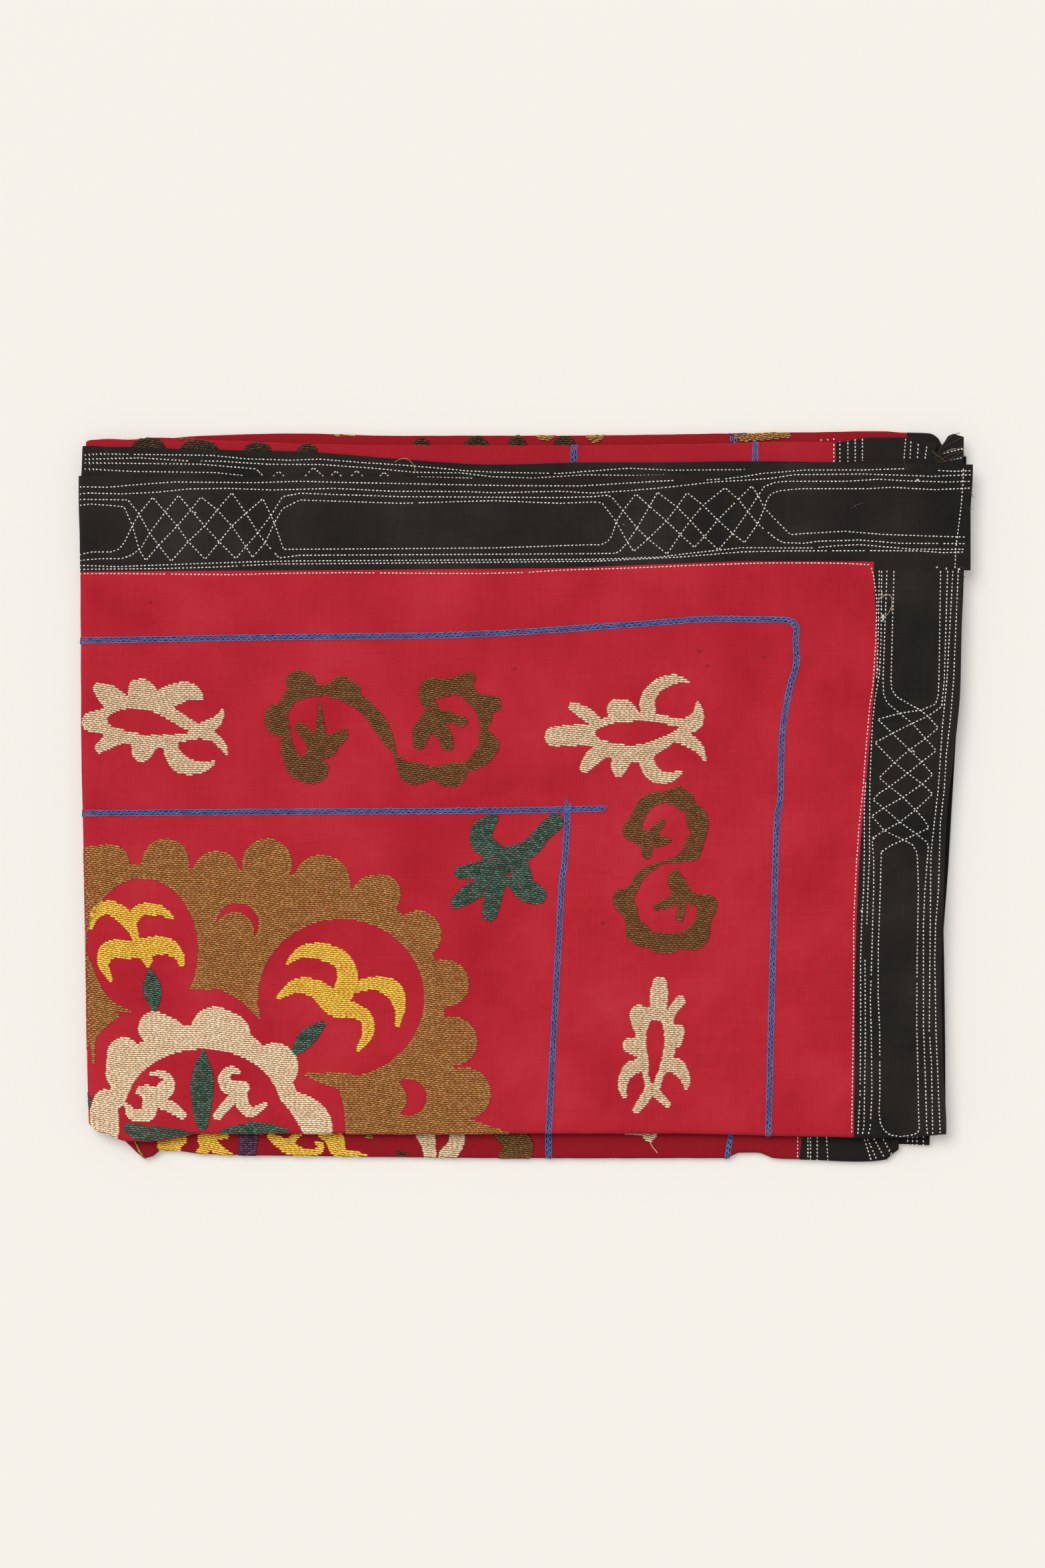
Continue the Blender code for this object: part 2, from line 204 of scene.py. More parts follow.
# Soft ripples: wavelength along p and q in metres, turn, height in metres.
RIPPLES = [
    (0.061, 0.190, 0.4, 0.00010),
    (0.170, 0.052, 1.9, 0.00010),
    (0.033, 0.047, 0.7, 0.00006),
    (0.021, 0.090, 2.6, 0.00004),
    (0.015, 0.013, 1.1, 0.00003),
]

# How deep and wide a machine stitched line draws the cloth in.
CHANNEL_DEPTH = 0.00034
CHANNEL_REACH = 0.0013
CHANNEL_CELL = 0.001
CHANNEL_CELLS = 5
DEEPEST_SHARE = 0.35
CHANNEL_FROM = np.array([-1.26, -2.30])
CHANNEL_TO = np.array([0.46, 0.36])

# Chain stitch, in pixels: how far apart rows lie, how long a stitch is and how much it overlaps.
ROW_STEP = 3.15
STITCH_STEP = 7.4
STITCH_LAP = 1.7
SAMPLE_STEP = 0.5
SHORTEST_RUN = 2.6
RAGGED = 0.6
SHORTEST_STITCH = 3.0
STITCH_HALF_WIDTH = 0.00098
STITCH_HEIGHT = 0.00062
# The thin dark ridge under each row paints the shade in the slits between its stitches.
SHADE_UNDERLAY_HEIGHT = 0.00024
SHADE_UNDERLAY_WIDTH = 0.00117
SHADE_UNDERLAY_SINK = 0.0001
SHADE_UNDERLAY_TONE = 0.08
STITCH_CLEAR = 0.00005
STITCH_TURN = 0.045
STITCH_BRIGHTNESS = (0.62, 1.0)
FIBRE_CONTRAST = 0.40

# Machine stitch, in pixels and metres.
MACHINE_STEP = 5.7
MACHINE_LENGTH = 3.8
MACHINE_HALF_WIDTH = 0.00058
SHARP_CORNER = 0.6
MACHINE_HEIGHT = 0.00042
MACHINE_CLEAR = 0.0001
MACHINE_SLANT = 0.10
MISSED_SHARE = 0.006
KNOT_CROSSING = 1.3

# Blue chain lines, in metres.
LINK_STEP = 0.0047
LINK_LENGTH = 0.0056
LINK_HALF_WIDTH = 0.00115
LINK_ROW_OFFSET = 0.0015
LINK_THREAD = 0.00044
# Half width of the dark ridge under the links: partly the thread's other strands, partly painted shade in the
# gaps.
LINK_SHADE_UNDERLAY = 0.0021

# Colours as the photo shows them, from 0 to 255: the painted shade of the slit between stitches, the thread,
# and the painted highlight of its light side.
THREADS = {
    "cream": ((128, 92, 56), (232, 200, 160), (255, 236, 202)),
    "ochre": ((76, 42, 14), (160, 106, 44), (214, 156, 92)),
    "olive": ((42, 26, 10), (104, 70, 30), (150, 108, 60)),
    "dark_olive": ((16, 10, 6), (52, 38, 20), (104, 78, 42)),
    "pale_cream": ((146, 106, 66), (250, 218, 176), (255, 244, 214)),
    "yellow": ((140, 80, 10), (255, 202, 58), (255, 226, 110)),
    "green": ((4, 16, 14), (26, 70, 54), (104, 146, 128)),
    "purple": ((20, 4, 20), (66, 26, 62), (134, 96, 130)),
    "blue": ((22, 24, 56), (58, 100, 166), (112, 150, 206)),
    "white": ((188, 180, 166), (244, 240, 230), (255, 254, 250)),
    "dark_red": ((70, 6, 14), (128, 16, 30), (168, 44, 56)),
    "dark": ((20, 17, 15), (52, 44, 40), (88, 78, 70)),
    "dark_brown": ((18, 12, 10), (50, 38, 32), (104, 84, 70)),
}

# Each motif: name, thread, layer, slope of its rows, and its shapes in the order they are laid.
# A shape is a stroke of x, y, half width in pixels, or one ellipse of x, y, half width, half height.
FILL = True
CLEAR = False
MOTIFS = [
    ("cream_flower_left", "cream", "top", 0.10, [
        (FILL, [
            [(148, 1033, 9), (165, 1045, 17), (185, 1062, 18)],
            [(206, 1033, 14), (215, 1042, 22), (222, 1058, 20)],
            [(228, 1058, 14), (255, 1045, 17), (280, 1037, 14), (298, 1042, 7), (303, 1050, 2)],
            [(165, 1062, 9), (200, 1055, 12), (240, 1066, 13), (268, 1078, 10), (292, 1092, 9),
             (312, 1095, 11)],
            [(305, 1094, 11), (322, 1085, 9), (331, 1074, 6), (334, 1065, 2)],
            [(305, 1100, 9), (322, 1107, 7), (334, 1119, 6), (340, 1130, 3)],
            [(137, 1083, 15), (160, 1082, 20)],
            [(162, 1098, 9), (195, 1106, 10), (235, 1112, 11), (270, 1107, 7), (300, 1100, 8)],
            [(150, 1122, 8), (170, 1108, 12), (190, 1103, 10)],
            [(212, 1135, 9), (215, 1122, 18), (222, 1108, 14)],
            [(258, 1112, 10), (258, 1128, 12), (272, 1146, 14), (298, 1152, 9), (320, 1145, 4)],
        ]),
        (CLEAR, [[(172, 1080, 10), (192, 1080, 16), (220, 1084, 18), (250, 1091, 11), (270, 1096, 5),
         (284, 1098, 1)]]),
    ]),
    ("cream_flower_middle", "cream", "top", 0.10, [
        (FILL, [
            [(832, 1105, 15), (860, 1103, 16), (890, 1102, 16)],
            [(860, 1060, 7), (878, 1070, 10), (896, 1084, 9)],
            [(925, 1064, 15), (935, 1068, 19), (950, 1074, 11)],
            [(890, 1090, 7), (930, 1078, 8), (970, 1076, 7), (1005, 1082, 7), (1030, 1090, 10)],
            [(973, 1070, 12), (972, 1050, 12), (982, 1033, 10), (1000, 1022, 9), (1018, 1019, 6),
             (1034, 1024, 2)],
            [(1020, 1090, 10), (1040, 1085, 13), (1048, 1072, 9), (1047, 1057, 4)],
            [(1015, 1103, 10), (1035, 1112, 10), (1050, 1124, 7), (1058, 1140, 3)],
            [(892, 1112, 10), (920, 1126, 12), (955, 1130, 13), (985, 1118, 12), (1010, 1104, 9)],
            [(878, 1152, 8), (888, 1138, 12), (905, 1125, 12)],
            [(928, 1160, 7), (930, 1146, 14), (938, 1132, 14)],
            [(970, 1130, 11), (972, 1148, 12), (985, 1164, 11), (1005, 1166, 8), (1021, 1159, 4)],
        ]),
        (CLEAR, [[(902, 1100, 8), (925, 1100, 15), (960, 1099, 17), (985, 1096, 12), (1005, 1094, 6),
         (1018, 1092, 1)]]),
    ]),
    ("cream_flower_right", "cream", "top", 0.10, [
        (FILL, [
            [(990, 1475, 11), (989, 1490, 14), (988, 1512, 13)],
            [(1021, 1501, 8), (1010, 1515, 8), (1002, 1527, 9)],
            [(959, 1522, 15), (962, 1538, 14)],
            [(972, 1522, 10), (985, 1521, 10), (1000, 1526, 10)],
            [(1003, 1535, 9), (1006, 1555, 10), (1003, 1578, 10), (998, 1598, 8), (990, 1615, 6),
             (982, 1632, 9)],
            [(1015, 1548, 13), (1012, 1560, 13)],
            [(962, 1545, 9), (962, 1570, 9), (965, 1590, 9), (969, 1610, 6), (973, 1625, 7), (977, 1633, 9)],
            [(946, 1568, 12), (958, 1572, 14)],
            [(962, 1598, 9), (948, 1602, 11), (938, 1614, 9), (934, 1630, 7), (937, 1644, 4)],
            [(1000, 1597, 9), (1016, 1600, 12), (1026, 1612, 9), (1030, 1626, 6), (1029, 1635, 2)],
            [(980, 1634, 8), (990, 1645, 7), (1002, 1657, 5)],
            [(976, 1634, 8), (966, 1650, 8), (955, 1665, 6)],
        ]),
        (CLEAR, [[(982, 1540, 8), (983, 1555, 13), (983, 1575, 12), (982, 1595, 8), (979, 1612, 5),
         (979, 1622, 2)]]),
    ]),
    ("scroll_level", "olive", "top", 0.12, [
        (FILL, [
            [(594, 1133, 2), (582, 1108, 9), (568, 1084, 12), (551, 1063, 11), (530, 1048, 11),
             (505, 1038, 10),
             (480, 1035, 9), (455, 1036, 12), (438, 1044, 11), (427, 1060, 10)],
            [(447, 1024, 18), (458, 1026, 17)],
            [(512, 1032, 18), (528, 1040, 15)],
            [(415, 1074, 18), (416, 1086, 17), (432, 1100, 8), (430, 1115, 9), (438, 1138, 13),
             (452, 1154, 17),
             (474, 1160, 15), (486, 1152, 8)],
            [(594, 1133, 2), (605, 1150, 10), (620, 1160, 17), (645, 1160, 11)],
            [(672, 1163, 18), (682, 1162, 18)],
            [(645, 1160, 10), (676, 1158, 11), (702, 1150, 8), (722, 1136, 14), (736, 1118, 14)],
            [(732, 1112, 13), (726, 1095, 6), (728, 1074, 11), (722, 1054, 12), (740, 1056, 13)],
            [(722, 1060, 10), (700, 1036, 12), (690, 1028, 14), (704, 1018, 10)],
            [(690, 1030, 10), (660, 1032, 15), (646, 1034, 16), (640, 1050, 9), (652, 1062, 7)],
        ]),
        (CLEAR, [
            [(480, 1094, 44, 47)],
            [(682, 1096, 38, 47)],
        ]),
        (FILL, [
            [(462, 1150, 12), (475, 1130, 14), (490, 1120, 17)],
            [(495, 1115, 13), (512, 1105, 9), (517, 1099, 6)],
            [(482, 1112, 8), (481, 1090, 7), (481, 1070, 4), (480, 1056, 2)],
            [(475, 1118, 13), (460, 1102, 9), (451, 1092, 8)],
            [(640, 1050, 9), (655, 1072, 10), (672, 1076, 9), (695, 1083, 7)],
            [(645, 1080, 14), (633, 1098, 14), (630, 1115, 10)],
            [(655, 1088, 12), (668, 1105, 11), (672, 1118, 9)],
        ]),
    ]),
    ("scroll_upright", "olive", "top", 0.10, [
        (FILL, [
            [(1035, 1275, 18), (1048, 1252, 12), (1046, 1230, 17), (1038, 1212, 10), (1018, 1197, 17)],
            [(1030, 1200, 12), (1000, 1196, 10), (972, 1207, 14), (958, 1225, 10), (950, 1246, 16)],
            [(1000, 1293, 3), (1020, 1284, 10), (1035, 1270, 14)],
            [(995, 1294, 2), (975, 1303, 5), (960, 1315, 7), (952, 1330, 7), (940, 1345, 12), (935, 1350, 16),
             (945, 1368, 12), (950, 1385, 11), (958, 1400, 17), (976, 1410, 12), (998, 1415, 17),
              (1020, 1412, 12),
             (1045, 1405, 18), (1055, 1382, 12), (1060, 1358, 17)],
        ]),
        (CLEAR, [
            [(998, 1247, 34, 42)],
            [(1003, 1349, 46, 50)],
        ]),
        (FILL, [
            [(950, 1246, 12), (965, 1258, 12), (985, 1261, 10), (1004, 1261, 4)],
            [(970, 1268, 9), (971, 1280, 8)],
            [(978, 1250, 7), (988, 1240, 6), (995, 1233, 4)],
            [(1060, 1356, 12), (1050, 1352, 10), (1030, 1346, 10), (1005, 1353, 8), (985, 1361, 5)],
            [(1022, 1338, 14), (1015, 1322, 13), (1013, 1314, 9)],
            [(1024, 1358, 6), (1020, 1378, 6)],
        ]),
    ]),
    ("green_branch", "green", "top", 0.08, [
        (FILL, [
            [(740, 1228, 8), (724, 1245, 16), (724, 1265, 17), (745, 1278, 13)],
            [(833, 1233, 13), (815, 1250, 13), (795, 1272, 14), (770, 1285, 16)],
            [(760, 1300, 30), (735, 1305, 20)],
            [(690, 1309, 9), (735, 1305, 18)],
            [(685, 1354, 9), (705, 1340, 14), (730, 1322, 16)],
            [(735, 1370, 12), (740, 1345, 14), (745, 1320, 16)],
            [(805, 1343, 15), (785, 1330, 18), (778, 1305, 18)],
        ]),
        (CLEAR, [
            [(737, 1288, 2)], [(709, 1321, 3)], [(729, 1337, 2)], [(765, 1312, 3)], [(798, 1304, 3)],
        ]),
    ]),
    ("rosette_ring", "ochre", "top", 0.09, [
        (FILL, [
            [(305, 1697, 380, 380)],
            [(130, 1344, 30), (156, 1336, 30), (215, 1325, 30), (291, 1331, 30), (358, 1334, 30),
             (429, 1342, 30), (511, 1358, 30), (577, 1388, 30), (626, 1453, 30), (640, 1538, 30),
             (651, 1610, 32), (678, 1682, 30)],
            [(140, 1296, 27), (165, 1296, 30)],
            [(249, 1294, 36)], [(325, 1312, 36)], [(401, 1296, 38)], [(483, 1326, 44)],
            [(563, 1348, 36), (574, 1340, 28)],
            [(627, 1402, 36)], [(668, 1475, 36)], [(680, 1562, 37)], [(698, 1640, 39)],
            [(690, 1690, 16), (740, 1697, 6), (764, 1700, 2)],
        ]),
        (CLEAR, [
            [(305, 1697, 213, 213)],
            [(214, 1425, 83, 107)],
            [(512, 1497, 124, 118)],
            [(357, 1386, 31)],
            [(613, 1646, 27)],
        ]),
        (FILL, [
            [(352, 1398, 30)],
            [(583, 1648, 28)],
            [(297, 1478, 6), (330, 1462, 22), (352, 1473, 20), (372, 1495, 12), (391, 1530, 1)],
            [(132, 1440, 4), (140, 1478, 10), (152, 1500, 11), (172, 1511, 6), (197, 1518, 1)],
            [(132, 1500, 12), (136, 1530, 9), (139, 1560, 5), (141, 1595, 2)],
            [(560, 1628, 14), (500, 1620, 11), (458, 1612, 2)],
        ]),
    ]),
    ("yellow_scroll_left", "yellow", "top", 0.10, [
        (FILL, [
            [(136, 1392, 3), (146, 1368, 9), (165, 1362, 11), (188, 1376, 12), (202, 1400, 7),
             (204, 1408, 6)],
            [(195, 1380, 10), (215, 1364, 9), (240, 1366, 8), (259, 1376, 3)],
            [(166, 1469, 4), (155, 1445, 9), (165, 1425, 14), (200, 1424, 14), (245, 1418, 14),
             (268, 1432, 8),
             (273, 1446, 5)],
            [(204, 1408, 6), (220, 1435, 9), (222, 1451, 2)],
        ]),
    ]),
    ("yellow_scroll_right", "yellow", "top", 0.10, [
        (FILL, [
            [(432, 1444, 3), (455, 1427, 9), (485, 1428, 13), (512, 1440, 14), (522, 1465, 16),
             (515, 1490, 16)],
            [(418, 1496, 4), (445, 1479, 11), (475, 1484, 14), (500, 1505, 18), (515, 1513, 14)],
            [(515, 1487, 8), (560, 1475, 10), (590, 1485, 14), (600, 1510, 9), (597, 1537, 4)],
            [(520, 1512, 13), (548, 1525, 10), (552, 1550, 9), (538, 1573, 4)],
        ]),
    ]),
    ("green_leaves", "green", "top", 0.08, [
        (FILL, [
            [(225, 1453, 2), (229, 1485, 14), (232, 1516, 3)],
            [(483, 1537, 6), (462, 1556, 13), (443, 1577, 7)],
            [(305, 1577, 3), (304, 1620, 17), (303, 1665, 14), (304, 1688, 8)],
            [(195, 1693, 9), (215, 1700, 12), (250, 1700, 8), (289, 1700, 2)],
            [(333, 1697, 3), (375, 1693, 9), (400, 1693, 8), (431, 1697, 3)],
            [(128, 1641, 4), (133, 1652, 6), (134, 1660, 4)],
        ]),
    ]),
    ("cream_flower_rosette", "pale_cream", "top", 0.08, [
        (FILL, [
            [(158, 1652, 18), (156, 1672, 22), (158, 1692, 21), (168, 1704, 10)],
            [(186, 1582, 26), (184, 1610, 26)],
            [(232, 1542, 25), (252, 1552, 26)],
            [(322, 1546, 36), (343, 1552, 33)],
            [(412, 1600, 36)],
            [(440, 1650, 14), (462, 1668, 22), (475, 1688, 24), (477, 1704, 20)],
            [(176, 1650, 12), (190, 1620, 20), (215, 1590, 24), (255, 1565, 20), (300, 1556, 20),
             (345, 1560, 24), (385, 1592, 24), (412, 1615, 20), (434, 1644, 14)],
        ]),
        (CLEAR, [[(305, 1664, 116, 90)]]),
        (FILL, [
            [(215, 1640, 12), (245, 1636, 14), (254, 1622, 8), (245, 1612, 6), (228, 1611, 4)],
            [(225, 1655, 12), (222, 1672, 10), (200, 1672, 9), (190, 1658, 4)],
            [(235, 1652, 9), (255, 1660, 9), (273, 1672, 7)],
            [(365, 1632, 10), (342, 1630, 11), (337, 1615, 9), (347, 1605, 6), (359, 1608, 3)],
            [(362, 1640, 9), (365, 1658, 10), (378, 1668, 8), (398, 1657, 4)],
            [(352, 1645, 8), (338, 1660, 8), (326, 1674, 7)],
        ]),
        (CLEAR, [[(230, 1622, 8)], [(205, 1651, 9)]]),
    ]),
    ("lower_yellow", "yellow", "lower", 0.10, [
        (FILL, [
            [(243, 1718, 9), (262, 1715, 10), (273, 1711, 7)],
            [(242, 1723, 7), (265, 1724, 6)],
            [(300, 1706, 5), (318, 1706, 6), (338, 1705, 5)],
            [(304, 1712, 9), (308, 1722, 9), (299, 1732, 7)],
            [(318, 1718, 9), (328, 1727, 8), (346, 1734, 3)],
            [(404, 1704, 5), (415, 1712, 8), (432, 1722, 11), (447, 1729, 8), (465, 1732, 6), (478, 1727, 6),
             (480, 1719, 5), (474, 1716, 3)],
            [(432, 1722, 8), (440, 1708, 6), (448, 1702, 5)],
            [(480, 1702, 5), (500, 1708, 14), (505, 1722, 13), (513, 1732, 8), (540, 1733, 3),
             (550, 1734, 1)],
        ]),
    ]),
    ("lower_cream", "cream", "lower", 0.12, [
        (FILL, [
            [(638, 1702, 15), (643, 1718, 11), (645, 1736, 10)],
            [(686, 1702, 12), (684, 1718, 12), (670, 1736, 13)],
            [(975, 1701, 12), (975, 1708, 7), (975, 1715, 1)],
        ]),
    ]),
    ("lower_purple", "purple", "lower", 0.06, [(FILL, [[(373, 1702, 15), (371, 1720, 14),
     (370, 1736, 14)]])]),
    ("lower_ochre", "ochre", "lower", 0.12, [
        (FILL, [[(200, 1712, 2), (208, 1728, 3), (215, 1741, 2)], [(551, 1706, 4), (556, 1706, 4)]]),
    ]),
    ("lower_dark", "dark_olive", "lower", 0.12, [(FILL, [[(595, 1731, 2), (603, 1732, 3), (612, 1731, 2)]])]),
    ("lower_cream_line", "cream", "lower", 0.05, [(FILL, [[(938, 1702, 2), (963, 1702, 2)]])]),
    ("third_olive", "olive", "third", 0.05, [(FILL, [[(268, 656.5, 2), (302, 657, 2)]])]),
    ("lower_olive", "olive", "lower", 0.12, [
        (FILL, [
            [(752, 1702, 11), (772, 1712, 18), (778, 1724, 23), (768, 1738, 20)],
        ]),
    ]),
    ("third_fold_dark", "dark_olive", "third", 0.14, [
        (FILL, [
            [(222, 676, 27, 22), (298, 680, 31, 22), (386, 683, 23, 22), (460.5, 683, 17, 19)],
        ]),
    ]),
    ("lower_fold_dark", "dark_olive", "lower", 0.14, [
        (FILL, [
            [(632, 672, 14, 16), (714, 674, 20, 22), (776, 673, 15, 22), (847, 673, 18, 22)],
        ]),
    ]),
    ("lower_fold_ochre", "ochre", "lower", 0.14, [
        (FILL, [
            [(818, 646, 16, 15), (894, 645, 16, 18)],
            [(499, 652, 1), (518, 651, 2), (536, 651, 1)],
            [(1104, 653, 3), (1120, 655, 6), (1140, 653, 7), (1165, 652, 6), (1184, 652, 4)],
        ]),
    ]),
    ("lower_fold_purple", "purple", "lower", 0.1, [(FILL, [[(1098, 649, 4), (1119, 649, 4)]])]),
]

# Machine stitched lines, in pixels: layer, side of the cloth (1 its right side, -1 its wrong side),
# and the line's places. The first group draws straight lines, the second one the lattice.
RIGHT = 1
WRONG = -1
WHITE_LINES = [
    ("second_end", WRONG, [(125, 682), (150, 680.5), (270, 682), (320, 683), (370, 688), (435, 690),
                           (480, 688.5), (550, 694), (600, 697), (670, 703), (700, 706), (740, 708),
                           (840, 710), (890, 706), (944, 702), (1005, 705), (1114, 704.4), (1160, 701)]),
    ("second_end", WRONG, [(125, 688.5), (210, 686.5), (283, 691)]),
    ("second_end", WRONG, [(300, 691), (330, 691.5), (400, 696), (480, 696.5), (560, 702), (620, 708),
                           (690, 709), (740, 715), (800, 717), (880, 712), (950, 713), (1050, 711)]),
    ("second_end", WRONG, [(125, 694), (300, 696), (384, 703), (395, 714)]),
    ("second_end", WRONG, [(625, 715), (710, 717)]),
    ("second_end", WRONG, [(125, 703), (200, 707), (320, 708.5), (365, 713)]),
    ("second_end", WRONG, [(409, 715), (418, 706.5), (427, 715)]),
    ("second_end", WRONG, [(457, 715), (470, 701), (486, 715)]),
    ("second_end", WRONG, [(496, 714), (504, 706), (513, 715)]),
    ("second_end", WRONG, [(526, 715), (535, 705.5), (545, 715)]),
    ("second_end", WRONG, [(569, 715), (576, 708), (584, 715)]),
    ("second_end", WRONG, [(1415, 680), (1447, 672)]),
    ("second_end", WRONG, [(1425, 690), (1445, 686)]),
    ("top", RIGHT, [(118, 730), (160, 731), (212, 726.5), (262, 723), (381, 724), (450, 722), (530, 724),
                    (630, 726), (760, 728.5), (870, 729), (936, 725), (1012, 720.5)]),
    ("top", RIGHT, [(1059, 720), (1090, 718), (1121, 714), (1145, 710), (1180, 707.5), (1206, 705),
                    (1295, 705), (1358, 703)]),
    ("top", RIGHT, [(1407, 705.5), (1430, 707), (1458, 706)]),
    ("top", RIGHT, [(118, 741), (132, 739.5), (182, 741), (240, 738), (283, 733.5), (340, 732.5), (407, 735),
                    (450, 734), (500, 732.5), (590, 737), (700, 737.5), (740, 739), (840, 737), (890, 739.6),
                    (945, 736), (1001, 731), (1071, 723), (1130, 719.6), (1161, 717), (1192, 712),
                    (1295, 711), (1399, 714.5), (1458, 712)]),
    ("top", RIGHT, [(118, 848), (175, 850), (283, 846), (370, 843), (450, 841.4), (890, 839), (986, 836),
                    (1038, 829.6), (1112, 821.7), (1180, 822), (1219, 822), (1250, 819), (1289, 817),
                    (1368, 823.7), (1448, 824)]),
    ("top", RIGHT, [(118, 854), (240, 853), (316, 851), (414, 846), (450, 846), (890, 842), (1020, 835.6),
                    (1112, 828), (1180, 826.5), (1306, 826), (1378, 826.4), (1416, 829), (1447, 828)]),
    ("top", RIGHT, [(118, 860.5), (179, 860.5), (347, 862), (435, 860), (523, 859), (629, 860), (717, 860.5),
                    (792, 858.5), (837, 855.5), (948, 852), (1056, 847.5), (1149, 844.5), (1216, 844.5),
                    (1261, 845), (1306, 847)]),
    ("top", RIGHT, [(1307, 850), (1311, 865), (1316, 902), (1314, 965), (1310, 1028), (1305, 1059),
                    (1299, 1128), (1295, 1184), (1289, 1240), (1285, 1299), (1281, 1384), (1281, 1446),
                    (1280, 1571), (1278, 1700)]),
    ("top", RIGHT, [(1319.5, 855), (1317.5, 962), (1315.5, 1018)]),
    ("top", RIGHT, [(1299, 1172), (1297, 1209), (1297, 1280), (1296, 1333), (1292.8, 1386), (1291.4, 1439),
                    (1291.5, 1545), (1290.6, 1640), (1288, 1690), (1287, 1702)]),
    ("top", RIGHT, [(1323, 855), (1322, 962), (1319.7, 1010), (1313, 1048), (1309, 1087), (1307, 1132),
                    (1305.3, 1175), (1304.6, 1259), (1305, 1280), (1302.4, 1333), (1300.7, 1388)]),
    ("top", RIGHT, [(1298, 1438), (1298.5, 1545), (1298, 1600), (1296.4, 1690), (1294, 1702)]),
    ("top", RIGHT, [(1430, 855), (1421, 1020), (1414, 1092), (1408, 1184), (1402, 1234), (1397, 1280),
                    (1396, 1386), (1394.3, 1545), (1397.6, 1592), (1399.8, 1702)]),
    ("top", RIGHT, [(1438, 855), (1431, 1020), (1426, 1080), (1420, 1132), (1417, 1184), (1411, 1235),
                    (1409.7, 1280), (1408.5, 1333), (1404, 1386), (1402.7, 1439), (1404.4, 1545),
                    (1408.3, 1640), (1411, 1702)]),
    ("top", RIGHT, [(1446, 702), (1445, 727), (1442, 762), (1437, 802), (1434, 825), (1433, 854)]),
    ("lower", RIGHT, [(1198, 1700), (1198, 1750)]),
    ("lower", RIGHT, [(1213.5, 1700), (1213.5, 1750)]),
    ("lower", RIGHT, [(1217.5, 1700), (1217.5, 1750)]),
    ("lower", RIGHT, [(1227.5, 1700), (1227.5, 1750)]),
    ("lower", RIGHT, [(1241, 1700), (1244, 1750)]),
    ("lower", RIGHT, [(1298, 1709), (1309, 1743)]),
    ("lower", RIGHT, [(1300, 1703), (1317, 1741)]),
    ("lower", RIGHT, [(1309, 1703), (1328, 1737)]),
    ("lower", RIGHT, [(1323, 1703), (1340, 1735)]),
    ("lower", RIGHT, [(1363.5, 1704), (1363.5, 1722)]),
    ("lower", RIGHT, [(1371, 1704), (1371, 1722)]),
    ("lower", RIGHT, [(1377.5, 1704), (1377.5, 1722)]),
    ("lower", RIGHT, [(1387, 1704), (1387, 1722)]),
    ("lower", RIGHT, [(1233, 656), (1234, 663)]),
    ("lower", RIGHT, [(1243, 656), (1244, 663)]),
    ("lower", RIGHT, [(1252, 655), (1253, 662)]),
    ("third", RIGHT, [(1252, 664), (1252, 694)]),
    ("third", RIGHT, [(1261, 658), (1261, 694)]),
    ("third", RIGHT, [(1273, 656), (1273, 694)]),
    ("third", RIGHT, [(1284, 656), (1284, 694)]),
    ("third", RIGHT, [(1295, 656), (1295, 694)]),
    ("third", RIGHT, [(1360, 656), (1357, 694)]),
    ("third", RIGHT, [(1368, 660), (1366, 694)]),
    ("third", RIGHT, [(1379, 664), (1377, 694)]),
    ("third", RIGHT, [(1392, 668), (1388, 694)]),
]
